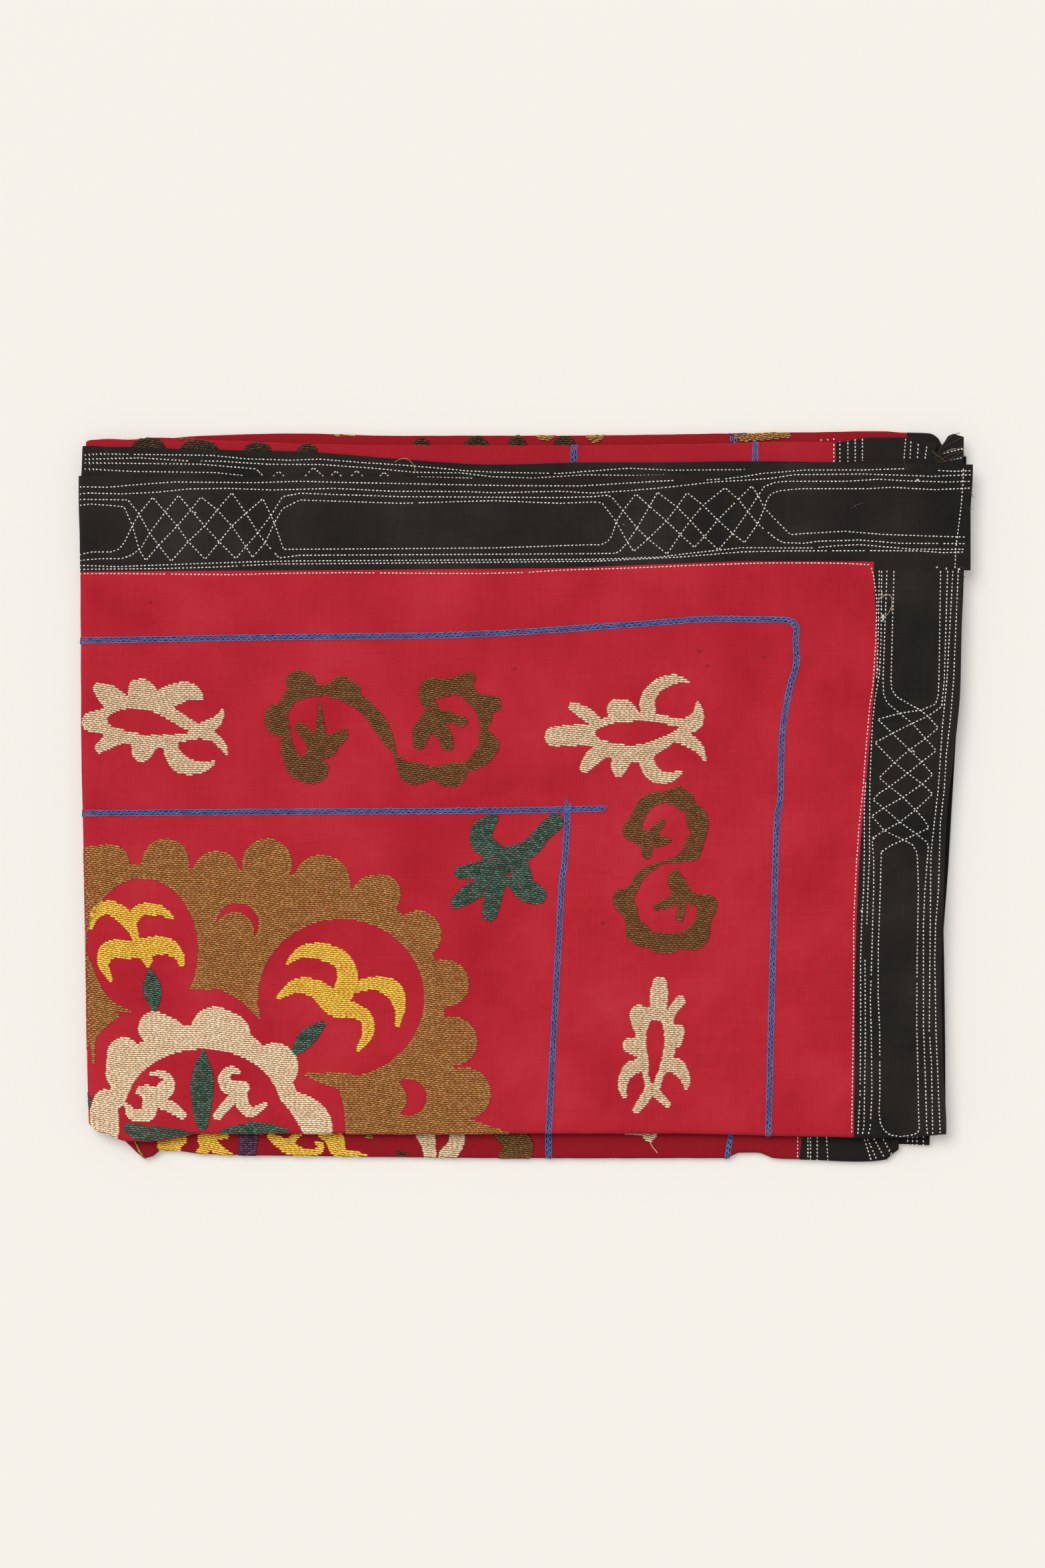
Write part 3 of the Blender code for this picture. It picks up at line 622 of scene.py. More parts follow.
LATTICE_LINES = [
    [(118, 749), (192, 750), (208, 770), (225, 800), (238, 818), (257, 842), (283, 812), (307, 789),
     (326, 765), (348, 739), (369, 770), (387, 799), (398, 814), (419, 837), (450, 833), (890, 830.6)],
    [(118, 758), (136, 756), (186, 760), (199, 789), (209, 825), (219, 841), (238, 818), (266, 789),
     (288, 763), (301.5, 745.5), (326, 765), (348, 789), (369, 820), (379, 836), (398, 814), (411, 786),
     (424, 763), (450, 750), (600, 755), (740, 751), (840, 755), (890, 753)],
    [(118, 832), (138, 828), (166, 828), (179, 823.6), (187, 813), (199, 788), (209, 770.5), (229, 746),
     (248, 768), (266, 789), (282, 812), (308, 839), (329, 813), (348, 789), (369, 770), (394.5, 748),
     (407, 774), (414, 791), (425.5, 824), (450, 824), (740, 822), (890, 817)],
    [(118, 840.5), (153, 838), (182, 838), (197, 833), (212, 822), (225, 799), (248, 768), (268, 743),
     (285, 763), (307, 789), (329, 813), (354, 838), (369, 820), (387, 799), (407, 773), (424, 745),
     (450, 740), (600, 745), (840, 746.5), (890, 745)],
    [(890, 745), (911, 743), (918, 745.5), (935, 766), (955.7, 792), (973, 809), (1001, 831), (1020, 803),
     (1036, 781), (1055, 758), (1088, 731.6), (1108, 749), (1122, 767), (1137, 786), (1164, 808),
     (1175, 814), (1206, 815), (1227, 812), (1289, 810), (1351, 815), (1449, 815.6)],
    [(890, 753), (903, 754), (925, 783), (942, 814), (951, 827), (973, 808), (1000, 781.5), (1016, 760.6),
     (1031, 739), (1055, 758), (1077, 780), (1100, 801), (1117, 814), (1137, 786), (1147, 762),
     (1151, 749), (1158, 740), (1171, 736), (1202, 733), (1302, 733), (1339, 731), (1403, 734.6),
      (1457, 732)],
    [(890, 817), (901, 817.6), (912, 812), (918, 804), (925, 782.5), (935, 766), (954, 741), (974, 759),
     (1000, 781.5), (1022, 803), (1042, 821), (1057, 805), (1077, 780), (1108, 749), (1128, 729),
     (1138, 744), (1147, 762), (1163, 779), (1186, 802), (1212, 800), (1268, 797), (1322, 801.5),
     (1389, 804), (1449, 805.6)],
    [(890, 830.6), (923, 830), (930, 827), (941, 814), (956, 792), (975, 759), (986.5, 738.5), (1016, 760.6),
     (1036, 781), (1057, 805), (1078, 825), (1100, 799.5), (1122, 768), (1138, 743), (1147, 730),
     (1163, 723.6), (1181, 722), (1268, 722), (1318, 719), (1366, 721.5), (1420, 723), (1457, 722)],
    [(1331, 855), (1325, 1020), (1326, 1041), (1331, 1054), (1350, 1070), (1369, 1085), (1389, 1108),
     (1405, 1126), (1383, 1143), (1362, 1160), (1335, 1180), (1319, 1190), (1310, 1200), (1326, 1212),
     (1350, 1233), (1375, 1251), (1391, 1263), (1393, 1270), (1392, 1285), (1388, 1333),
     (1385.6, 1386), (1385.6, 1539), (1388, 1600), (1390.7, 1690), (1392, 1702)],
    [(1341.5, 855), (1337, 1020), (1338, 1034), (1345, 1045), (1362, 1055), (1381, 1065), (1393, 1075),
     (1408, 1092), (1389, 1108), (1366, 1124), (1342, 1144), (1325, 1161), (1319, 1167), (1335, 1180),
     (1355, 1196), (1374, 1215), (1387, 1230), (1394, 1242), (1375, 1251), (1356, 1260), (1337, 1268),
     (1322.5, 1278), (1321, 1333), (1318, 1420), (1317.6, 1492), (1320, 1545), (1320.3, 1640), (1319, 1670),
     (1321.5, 1686), (1327, 1696), (1336.5, 1703), (1351, 1705), (1366, 1703.5), (1376, 1700), (1379.6, 1695),
     (1378.5, 1670), (1377, 1592), (1375.7, 1540), (1376.2, 1439), (1378.2, 1333), (1376.5, 1285),
     (1375, 1277), (1369, 1267), (1356, 1260), (1327, 1246),
     (1308, 1224), (1326, 1212), (1355, 1196), (1384, 1176), (1399.5, 1162), (1383, 1143), (1363, 1123),
     (1339, 1100), (1317, 1079), (1350, 1070), (1383, 1065), (1404, 1056), (1408, 1042), (1409, 1020),
     (1411.5, 855)],
    [(1422, 855), (1417, 1020), (1413, 1060), (1393, 1074), (1369, 1085), (1339, 1100), (1313, 1114),
     (1342, 1144), (1362, 1160), (1384, 1176), (1399.5, 1191), (1374, 1215), (1349, 1234), (1327, 1246),
     (1313, 1255), (1309, 1260), (1311, 1290), (1311, 1333), (1308, 1439), (1306, 1500), (1307.3, 1545),
     (1308.4, 1640), (1306, 1690), (1303, 1702)],
]

# Blue chain lines, in pixels: layer and places.
BLUE_LINES = [
    ("top", [(118, 961), (400, 956), (700, 952), (960, 936), (1055, 929), (1127, 929), (1176, 930),
     (1190, 934),
             (1195, 944), (1194, 965), (1195, 996), (1186, 1027), (1180, 1059), (1174, 1099), (1172, 1152),
             (1170.6, 1199), (1164, 1277), (1153, 1702)]),
    ("top", [(122, 1220), (400, 1218), (740, 1216), (905, 1213)]),
    ("top", [(852, 1207), (850, 1256), (847, 1298), (842, 1347), (823, 1702)]),
    ("lower", [(823, 1700), (823, 1742)]),
    ("lower", [(1098, 1700), (1092, 1742)]),
    ("lower", [(1102, 658), (1103, 668)]),
    ("third", [(862, 658), (861, 700)]),
    ("third", [(1134, 658), (1134, 700)]),
]

# Loose threads, in pixels and metres: name, thread, layer, side, half width, height, and each
# thread's places.
LOOSE_THREADS = [
    ("loose_threads_dark", "dark", "second_end", WRONG, 0.00028, 0.0005, [
        [(158, 667), (159, 676), (163, 686), (166, 695)],
        [(311, 664), (308, 675), (304, 684), (303, 692)],
        [(318, 664), (321, 677), (324, 690), (325, 702)],
    ]),
    ("torn_corner_threads", "dark_brown", "second_end", WRONG, 0.00030, 0.0009, [
        [(1404, 692), (1411, 683), (1420, 677), (1432, 674), (1445, 670)],
        [(1406, 694), (1416, 687), (1428, 681), (1441, 678)],
        [(1403, 688), (1408, 679), (1414, 668), (1420, 660)],
        [(1410, 694), (1421, 691), (1433, 684), (1446, 676)],
        [(1418, 666), (1424, 658), (1431, 652), (1441, 649)],
        [(1416, 672), (1425, 666), (1437, 660), (1445, 657)],
        [(1423, 690), (1432, 688), (1441, 685), (1448, 683)],
        [(1399, 676), (1405, 682), (1412, 686), (1419, 693)],
    ]),
    ("pale_hairs", "cream", "second_end", WRONG, 0.00012, 0.0006, [
        [(592, 693), (599, 689), (607, 687), (614, 690), (620, 697), (623, 707)],
        [(1421, 676), (1430, 673), (1440, 673), (1447, 675)],
    ]),
    ("top_layer_hairs", "cream", "top", RIGHT, 0.00013, 0.0010, [
        [(1318, 891), (1324, 893), (1333, 892), (1339, 896)],
        [(1320, 899), (1328, 893), (1336, 893), (1338, 905), (1337, 917)],
        [(1319, 929), (1324, 926), (1332, 921), (1338, 909)],
        [(1321, 884), (1324, 889), (1321, 897)],
    ]),
    ("dark_knots", "dark", "top", RIGHT, 0.00032, 0.0008, [
        [(1276, 763), (1282, 760), (1287, 757), (1295, 755)],
        [(1279, 755), (1283, 759), (1286, 764)],
        [(930, 783), (937, 787), (943, 790)],
        [(932, 791), (937, 786), (941, 781)],
        [(1355, 688), (1359, 699), (1363, 705)],
    ]),
    ("edge_fray_top", "dark", "top", RIGHT, 0.00022, 0.0004, [
        [(1441, 849), (1446, 852), (1450, 855), (1449, 860)],
        [(1440, 858), (1445, 862), (1448, 867)],
        [(1438, 868), (1443, 872), (1446, 879)],
        [(1452, 738), (1458, 741), (1461, 746)],
        [(1449, 760), (1455, 763), (1459, 762)],
    ]),
    ("cream_tail", "cream", "lower", RIGHT, 0.00034, 0.0003, [
        [(976, 1714), (979, 1721), (984, 1727), (987, 1731)],
    ]),
]

# Small knots, in pixels: name, thread, layer, thickness of the cloth there, and x, y, length of each.
KNOTS = [
    ("knots_white", "white", "top", STRIP_THICKNESS, [
        (1325, 929, 7), (1325, 924, 6), (1317, 1004, 5), (1371, 1127, 5), (1311, 1257, 5), (1293, 1367, 5),
        (1377, 720, 5), (1406, 851, 4), (1420, 853, 4), (1439, 854, 5), (293, 769, 4), (936, 787, 4),
    ]),
    ("knots_dark_red", "dark_red", "top", FIELD_THICKNESS, [
        (1049, 977, 7), (1061, 999, 6), (1146, 986, 6), (772, 1003, 5), (905, 1385, 6), (226, 903, 5),
    ]),
]

# How finely each piece is divided.
FIELD_ROWS = (88, 9, 8, 7, 10, 6, 7)
SIDE_ROWS = (220, 9, 8, 7, 10, 6, 7)
FIELD_STEP = 0.0047
LOWER_STEP = 0.0060
TOP_STRIP_STEP = 0.0022
TOP_STRIP_ROWS = 42
BOTTOM_STRIP_ROWS = 24
SIDE_STRIP_STEPS = 40
LOWER_STRIP_STEPS = 16
LEFT_FOLD_STEPS = 12
FOLD_FOLLOW = 0.060

# Camera, floor and light, in metres and millimetres.
CAMERA_X = -0.00325
CAMERA_Y = 0.0118
FRAME_HEIGHT = 2352 * PIXEL
LENS = 100.0
SENSOR_HEIGHT = 36.0
CAMERA_ABOVE = 2 * AXIS_Z + FRAME_HEIGHT * LENS / SENSOR_HEIGHT
FLOOR_SIZE = 6.0
FLOOR_COLOUR = (0.665, 0.647, 0.607, 1.0)
FLOOR_GLOW = 0.35
SKY_COLOUR = (1.0, 0.985, 0.96, 1.0)
SKY_STRENGTH = 0.49
LIGHT_STRENGTH = 2.05
LIGHT_ANGLE = 0.7
LIGHT_PLACE = (-0.45, 0.55, 1.0)

# Height up to which the cloth keeps its deeper colour, partly unbleached dye and partly painted shade, and
# from which it is fully bleached.
FADE_AND_SHADE_FROM = 0.0095
FADE_AND_SHADE_TO = 0.0160

rng = np.random.default_rng(7)


def linear(colour):
    """A colour from 0 to 255, as the linear value that a shader takes."""
    share = np.array(colour) / 255
    low = share / 12.92
    high = ((share + 0.055) / 1.055) ** 2.4
    return tuple(float(v) for v in np.where(share <= 0.04045, low, high)) + (1.0,)


def smooth_lookup(at, knots, values):
    """Read a smooth curve through the knots that never overshoots them, and is level beyond them."""
    steep = np.diff(values) / np.diff(knots)
    before, after = steep[:-1], steep[1:]
    together = np.where(before * after > 0, before + after, 1.0)
    inner = np.where(before * after > 0, 2 * before * after / together, 0.0)
    slopes = np.concatenate([[0.0], inner, [0.0]])
    at = np.clip(at, knots[0], knots[-1])
    left = np.clip(np.searchsorted(knots, at, side="right") - 1, 0, len(knots) - 2)
    span = knots[left + 1] - knots[left]
    t = (at - knots[left]) / span
    rise_there = values[left + 1] - values[left]
    start = slopes[left] * span
    end = slopes[left + 1] * span
    turn = t * (start + end - 2 * rise_there)
    return values[left] + t * (start + t * ((3 * rise_there - 2 * start - end) + turn))


def left_axis(y):
    """The line about which the left fold turns."""
    edge = smooth_lookup(y, LEFT_EDGE[:, 0] * MM, LEFT_EDGE[:, 1] * MM)
    return edge + FOLD_RADIUS + SOLID_THICKNESS / 2


MIDDLE_AXIS = float(left_axis(np.array(0.0)))
HALF_TURN = np.pi * FOLD_RADIUS


def lower_p(x, axis):
    """The place across the flat cloth that lies at x in the lower half."""
    return 2 * axis - HALF_TURN - x


def fold_lines(p):
    """The two ends and three folds along the cloth, as y, for places p across it."""
    upper_knots = np.maximum(UPPER[:, 0] * MM, MIDDLE_AXIS)
    rows = np.concatenate([LOWER[::-1, 1:], UPPER[:, 1:]]) * MM
    lines = []
    for column, line_y in enumerate(LINE_Y):
        lower_knots = lower_p(LOWER[:, 0] * MM, left_axis(line_y * MM))
        knots = np.concatenate([lower_knots[::-1], upper_knots])
        lines.append(smooth_lookup(p, knots, rows[:, column]))
    return lines


def breakpoints(p):
    """Values of q at the ends of the seven stretches, and the three fold centres, as y."""
    first_end, outer, top, inner, second_end = fold_lines(p)
    outer_y = outer + OUTER_RADIUS + SOLID_THICKNESS / 2
    top_y = top - INNER_RADIUS - SOLID_THICKNESS / 2
    inner_y = inner + INNER_RADIUS + SOLID_THICKNESS / 2
    lengths = [
        first_end - outer_y, np.pi * OUTER_RADIUS + 0 * p,
        top_y - outer_y, np.pi * INNER_RADIUS + 0 * p,
        top_y - inner_y, np.pi * INNER_RADIUS + 0 * p,
        second_end - inner_y,
    ]
    marks = [first_end]
    for length in lengths:
        marks.append(marks[-1] - length)
    return marks, (outer_y, top_y, inner_y)


def section_path(p, q, offset):
    """Place p, q in the stack before the left fold: y, and the height above the fold's middle."""
    marks, (outer_y, top_y, inner_y) = breakpoints(p)
    turn_a = np.clip((marks[1] - q) / OUTER_RADIUS, 0, np.pi)
    turn_b = np.clip((marks[3] - q) / INNER_RADIUS, 0, np.pi)
    turn_c = np.clip((marks[5] - q) / INNER_RADIUS, 0, np.pi)
    zero = 0 * q
    stretches = [
        (q, H_S1 + zero, zero, 1 + zero),
        (outer_y - OUTER_RADIUS * np.sin(turn_a), OUTER_CENTRE + OUTER_RADIUS * np.cos(turn_a),
         -np.sin(turn_a), np.cos(turn_a)),
        (outer_y + marks[2] - q, H_S2 + zero, zero, -1 + zero),
        (top_y + INNER_RADIUS * np.sin(turn_b), TOP_CENTRE - INNER_RADIUS * np.cos(turn_b),
         np.sin(turn_b), -np.cos(turn_b)),
        (top_y - marks[4] + q, H_S3 + zero, zero, 1 + zero),
        (inner_y - INNER_RADIUS * np.sin(turn_c), INNER_CENTRE - INNER_RADIUS * np.cos(turn_c),
         np.sin(turn_c), np.cos(turn_c)),
        (inner_y + marks[6] - q, H_S4 + zero, zero, -1 + zero),
    ]
    place = sum((q < mark).astype(int) for mark in marks[1:7])
    y, height, normal_y, normal_h = (np.choose(place, column) for column in zip(*stretches))
    return y + offset * normal_y, height + offset * normal_h


def rise(x, y, z):
    """Lift the pack softly: nothing at the surface it lies on, most at its top."""
    lift = 0 * x
    for centre_x, centre_y, reach_x, reach_y, height in RISES:
        lift += height * np.exp(-(((x - centre_x) / reach_x) ** 2) - ((y - centre_y) / reach_y) ** 2)
    from_side = np.maximum(np.abs(x) - HALF_LENGTH, -0.2)
    from_end = np.maximum(np.abs(y) - HALF_WIDTH, -0.2)
    lift -= RIM_DROP * (np.exp(from_side / RIM_REACH) + np.exp(from_end / RIM_REACH)) / 2
    return z * (1 + lift / (2 * AXIS_Z))


def fold(p, q, offset):
    """Place p, q of the flat cloth in the folded pack, moved by offset towards its right side."""
    y, height = section_path(p, q, offset)
    axis = left_axis(y)
    turn = np.clip((axis - p) / FOLD_RADIUS, 0, np.pi)
    run = np.where(turn < np.pi, np.maximum(p - axis, 0), axis - HALF_TURN - p)
    x = axis + run - height * np.sin(turn)
    z = AXIS_Z + height * np.cos(turn)
    return np.stack([x, y, rise(x, y, z)], axis=-1) - PACK_MIDDLE


def fold_turn(share):
    """The turn of a fold seen from above at a share of its radius. Past its edge it goes on evenly."""
    seen = np.clip(share, 0, EDGE_SHARE)
    return np.arcsin(seen) + np.maximum(share - EDGE_SHARE, 0)


def unfold(x, y, layer):
    """The p and q of a place seen from above at x, y on one layer of the pack."""
    axis = left_axis(y)
    height = LAYER_HEIGHT[layer]
    if layer == "lower":
        p = lower_p(x, axis)
    else:
        turned = fold_turn((axis - x) / height)
        p = np.where(x < axis, axis - FOLD_RADIUS * turned, x)
    marks, (outer_y, top_y, inner_y) = breakpoints(p)
    past_outer = fold_turn((outer_y - y) / (OUTER_RADIUS + FIELD_THICKNESS / 2))
    past_top = fold_turn((y - top_y) / (INNER_RADIUS + FIELD_THICKNESS / 2))
    if layer == "top":
        return p, np.where(y < outer_y, marks[1] - OUTER_RADIUS * past_outer, y)
    if layer == "third":
        return p, np.where(y > top_y, marks[4] + INNER_RADIUS * past_top, y - top_y + marks[4])
    if layer == "second_end":
        return p, inner_y + marks[6] - y
    q = outer_y + marks[2] - y
    q = np.where(y < outer_y, marks[2] + OUTER_RADIUS * past_outer, q)
    return p, np.where(y > top_y, marks[3] - INNER_RADIUS * past_top, q)


def from_photo(x, y):
    """Photo pixels as metres in the pack's raw plan."""
    return (np.asarray(x, float) - PIXEL_X) * PIXEL, (PIXEL_Y - np.asarray(y, float)) * PIXEL


def smooth_points(points, step):
    """A smooth curve through the points, as places about one step apart."""
    points = np.asarray(points, float)
    padded = np.concatenate([2 * points[:1] - points[1:2], points, 2 * points[-1:] - points[-2:-1]])
    made = []
    for before, start, end, after in zip(padded, padded[1:], padded[2:], padded[3:]):
        count = max(1, int(np.hypot(*(end - start)[:2]) / step))
        t = np.linspace(0, 1, count, endpoint=False)[:, None]
        bend = 2 * before - 5 * start + 4 * end - after
        twist = -before + 3 * start - 3 * end + after
        made.append(start + t * ((end - before) + t * (bend + t * twist)) / 2)
    return np.concatenate(made + [points[-1:]])


def straight_points(points, step, gap=0.0):
    """Places one step apart along straight stretches between the points."""
    points = np.asarray(points, float)
    lengths = np.hypot(*np.diff(points, axis=0).T)
    along = np.concatenate([[0.0], np.cumsum(lengths)])
    count = max(1, int(round((along[-1] - gap) / step)) + 1)
    at = np.linspace(gap / 2, along[-1] - gap / 2, count)
    return np.stack([np.interp(at, along, points[:, 0]), np.interp(at, along, points[:, 1])], axis=1)


def stitched_places(points):
    """The middle and direction of each machine stitch on a line, with a stitch's end at each corner."""
    points = np.asarray(points, float)
    steps = np.diff(points, axis=0)
    heading = np.arctan2(steps[:, 1], steps[:, 0])
    turns = np.abs((np.diff(heading) + np.pi) % (2 * np.pi) - np.pi)
    corners = [0] + [i + 1 for i in np.flatnonzero(turns > SHARP_CORNER)] + [len(points) - 1]
    middles, directions = [], []
    for first, last in zip(corners, corners[1:]):
        stretch = points[first:last + 1]
        length = np.hypot(*np.diff(stretch, axis=0).T).sum()
        places = straight_points(stretch, MACHINE_STEP, min(MACHINE_STEP, length))
        ahead = straight_points(stretch, 0.2)
        nearest = [int(np.hypot(*(ahead - place).T).argmin()) for place in places]
        nearest = np.clip(nearest, 1, len(ahead) - 2)
        middles.append(places)
        directions.append(ahead[nearest + 1] - ahead[nearest - 1])
    directions = np.concatenate(directions)
    return np.concatenate(middles), directions / np.hypot(*directions.T)[:, None]


def white_line_places():
    """All machine stitched lines as layer, side and places."""
    return WHITE_LINES + [("top", RIGHT, points) for points in LATTICE_LINES]


def make_channels():
    """How far the machine stitched lines draw the cloth in, on a grid over the flat cloth."""
    counts = ((CHANNEL_TO - CHANNEL_FROM) / CHANNEL_CELL).astype(int)
    depth = np.zeros(counts)
    steps = np.arange(-CHANNEL_CELLS, CHANNEL_CELLS + 1)
    for layer, _, points in white_line_places():
        places = straight_points(points, 1.2)
        p, q = unfold(*from_photo(places[:, 0], places[:, 1]), layer)
        cell_p = (p - CHANNEL_FROM[0]) / CHANNEL_CELL
        cell_q = (q - CHANNEL_FROM[1]) / CHANNEL_CELL
        for step_p in steps:
            for step_q in steps:
                near_p = np.round(cell_p).astype(int) + step_p
                near_q = np.round(cell_q).astype(int) + step_q
                away = np.hypot(near_p - cell_p, near_q - cell_q) * CHANNEL_CELL
                np.maximum.at(depth, (near_p, near_q), np.exp(-((away / CHANNEL_REACH) ** 2)))
    return depth


CHANNELS = make_channels()


def channel_depth(p, q):
    """The drawn-in depth at p, q, read between the cells of the grid."""
    at_p = np.clip((p - CHANNEL_FROM[0]) / CHANNEL_CELL, 0, CHANNELS.shape[0] - 2)
    at_q = np.clip((q - CHANNEL_FROM[1]) / CHANNEL_CELL, 0, CHANNELS.shape[1] - 2)
    i, j = at_p.astype(int), at_q.astype(int)
    s, t = at_p - i, at_q - j
    near = CHANNELS[i, j] * (1 - t) + CHANNELS[i, j + 1] * t
    far = CHANNELS[i + 1, j] * (1 - t) + CHANNELS[i + 1, j + 1] * t
    return CHANNEL_DEPTH * (near * (1 - s) + far * s)


def relief(p, q):
    """Soft ripples and creases of the cloth at p, q, in metres."""
    height = 0 * p * q
    for wave_p, wave_q, turn, size in RIPPLES:
        across = np.sin(2 * np.pi * p / wave_p + turn)
        height = height + size * across * np.sin(2 * np.pi * q / wave_q + 2 * turn)
    for start_x, start_y, end_x, end_y, half_width, size in CREASES:
        (start_p, end_p), (start_q, end_q) = from_photo([start_x, end_x], [start_y, end_y])
        along_p, along_q = end_p - start_p, end_q - start_q
        length = np.hypot(along_p, along_q)
        share = ((p - start_p) * along_p + (q - start_q) * along_q) / length**2
        away = ((p - start_p) * along_q - (q - start_q) * along_p) / length
        beyond = np.maximum(np.abs(share - 0.5) - 0.35, 0) * length
        height = height + size * np.exp(-((away / half_width) ** 2) - (beyond / (2 * half_width)) ** 2)
    return height


def side_lines(section, y):
    """The p of the upper edge, upper seam, lower seam and lower edge at places along the cloth."""
    upper_edge = smooth_lookup(section, UPPER_SIDE[:, 0], UPPER_SIDE[:, 1] * MM)
    upper_seam = smooth_lookup(section, UPPER_SIDE[:, 0], UPPER_SIDE[:, 2] * MM)
    lower_edge = smooth_lookup(section, LOWER_SIDE[:, 0], LOWER_SIDE[:, 1] * MM)
    lower_seam = smooth_lookup(section, LOWER_SIDE[:, 0], LOWER_SIDE[:, 2] * MM)
    axis = left_axis(y)
    return upper_edge, upper_seam, lower_p(lower_seam, axis), lower_p(lower_edge, axis)


def q_at(p, section):
    """The q of a place counted in sections, for places p across the cloth."""
    marks = np.stack(breakpoints(p)[0])
    index = np.clip(section.astype(int), 0, 6)
    start = np.take_along_axis(marks, index[None], 0)[0]
    end = np.take_along_axis(marks, index[None] + 1, 0)[0]
    return start + (end - start) * (section - index)


def seam_y(p, upper, lower):
    """The y of a seam that is straight between the places named in its two tables."""
    knots = np.concatenate([lower_p(lower[::-1, 0] * MM, MIDDLE_AXIS),
                            np.maximum(upper[:, 0] * MM, MIDDLE_AXIS)])
    return np.interp(p, knots, np.concatenate([lower[::-1, 1], upper[:, 1]]) * MM)


def seam_sections(p):
    """Where the seams of the two end strips lie, counted in sections, for places p."""
    marks = breakpoints(p)[0]
    lines = fold_lines(p)
    first_width = lines[0] - seam_y(p, FIRST_SEAM_UPPER, FIRST_SEAM_LOWER)
    second_width = lines[4] - seam_y(p, SECOND_SEAM_UPPER, SECOND_SEAM_LOWER)
    return first_width / (marks[0] - marks[1]), 7 - second_width / (marks[6] - marks[7])


def panel_sections(p, along):
    """Keep the first and last section of a panel clear of the two end strips."""
    first, second = seam_sections(p)
    section = np.where(along <= 1, first + (1 - first) * along, along + 0 * p)
    return np.where(along >= 6, 6 + (second - 6) * (along - 6), section)


def follow_left_fold(steps, y):
    """Move steps that lie near the left fold along with it."""
    beyond = np.maximum(steps - MIDDLE_AXIS, MIDDLE_AXIS - HALF_TURN - steps)
    share = np.clip(1 - beyond / FOLD_FOLLOW, 0, 1)
    return steps + (left_axis(y) - MIDDLE_AXIS) * share


def across_steps(first, last, upper_step, lower_step):
    """Values of p from one to the other, with the left fold's own steps between its two halves."""
    turn = MIDDLE_AXIS - FOLD_RADIUS * np.linspace(0, np.pi, LEFT_FOLD_STEPS + 1)
    upper = np.linspace(first, turn[0], int((first - turn[0]) / upper_step) + 1)
    lower = np.linspace(turn[-1], last, int((turn[-1] - last) / lower_step) + 1)
    return np.concatenate([upper[:-1], turn, lower[1:]])


def along_steps(counts):
    """Places along the cloth, counted in sections, with so many steps in each section."""
    runs = [i + np.linspace(0, 1, count, endpoint=False) for i, count in enumerate(counts)]
    return np.concatenate(runs + [[7.0]])


def add_object(name, vertices, faces, material, tone=None):
    """Make a smooth mesh object that rides with the pack."""
    mesh = bpy.data.meshes.new(name)
    mesh.from_pydata(np.asarray(vertices).tolist(), [], faces)
    mesh.materials.append(material)
    mesh.shade_smooth()
    if tone is not None:
        layer = mesh.attributes.new("tone", "FLOAT", "POINT")
        layer.data.foreach_set("value", np.asarray(tone, np.float32))
    item = bpy.data.objects.new(name, mesh)
    bpy.context.scene.collection.objects.link(item)
    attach(item, "root")
    return item


def closed_sheet(name, node, p, q, thickness, material):
    """Make one closed sheet of cloth from a grid of places on the flat cloth."""
    columns, rows = p.shape
    height = relief(p, q)
    drawn_in = np.minimum(channel_depth(p, q), DEEPEST_SHARE * thickness)
    faces_up = fold(p, q, height + thickness / 2 - drawn_in).reshape(-1, 3)
    faces_down = fold(p, q, height - thickness / 2 + drawn_in).reshape(-1, 3)
    index = np.arange(columns * rows).reshape(columns, rows)
    a, b, c, d = index[:-1, :-1], index[1:, :-1], index[1:, 1:], index[:-1, 1:]
    upper = np.stack([a, b, c, d], axis=-1).reshape(-1, 4)
    lower = upper[:, ::-1] + columns * rows
    rim = np.concatenate([index[:, 0], index[-1, 1:], index[-2::-1, -1], index[0, -2:0:-1]])
    after = np.roll(rim, -1)
    sides = np.stack([rim, rim + columns * rows, after + columns * rows, after], axis=-1)
    faces = np.concatenate([upper, lower, sides]).tolist()
    item = add_object(name, np.concatenate([faces_up, faces_down]), faces, material)
    item.data.set_sharp_from_angle(angle=np.radians(60))
    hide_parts(node)
    return item


def make_field(material):
    """The red panel between the four seams."""
    along = along_steps(FIELD_ROWS)[None, :]
    _, seam, lower_seam, _ = side_lines(along[0], 0 * along[0])
    steps = across_steps(seam.max(), lower_seam.min(), FIELD_STEP, LOWER_STEP)[:, None]
    first_free, last_free = MIDDLE_AXIS + FOLD_FOLLOW, MIDDLE_AXIS - HALF_TURN - FOLD_FOLLOW
    near_upper = np.clip((steps - first_free) / (steps[0] - first_free), 0, 1)
    near_lower = np.clip((last_free - steps) / (last_free - steps[-1]), 0, 1)
    p = steps + 0 * along
    for _ in range(3):
        section = panel_sections(p, along)
        y = section_path(p, q_at(p, section), 0.0)[0]
        _, seam, lower_seam, _ = side_lines(section, y)
        p = follow_left_fold(steps, y)
        p = p + (seam[0] - steps[0]) * near_upper + (lower_seam[-1] - steps[-1]) * near_lower
    q = q_at(p, panel_sections(p, along))
    return closed_sheet("red_field", "field", p, q, FIELD_THICKNESS, material)


def make_side_strip(name, node, material, lower, steps, counts):
    """A strip down one side, between the seams of the two end strips."""
    along = along_steps(counts)[None, :]
    edges = side_lines(along, 0 * along)
    share = np.linspace(0, 1, steps + 1)[:, None]
    p = edges[2 if lower else 0] + 0 * share
    for _ in range(3):
        section = panel_sections(p, along)
        edges = side_lines(section, section_path(p, q_at(p, section), 0.0)[0])
        if lower:
            start, end = edges[2][0] + SEAM_OVERLAP, edges[3][-1]
        else:
            start, end = edges[0][0], edges[1][-1] - SEAM_OVERLAP
        p = start + (end - start) * share
    q = q_at(p, panel_sections(p, along))
    return closed_sheet(name, node, p, q, STRIP_THICKNESS, material)


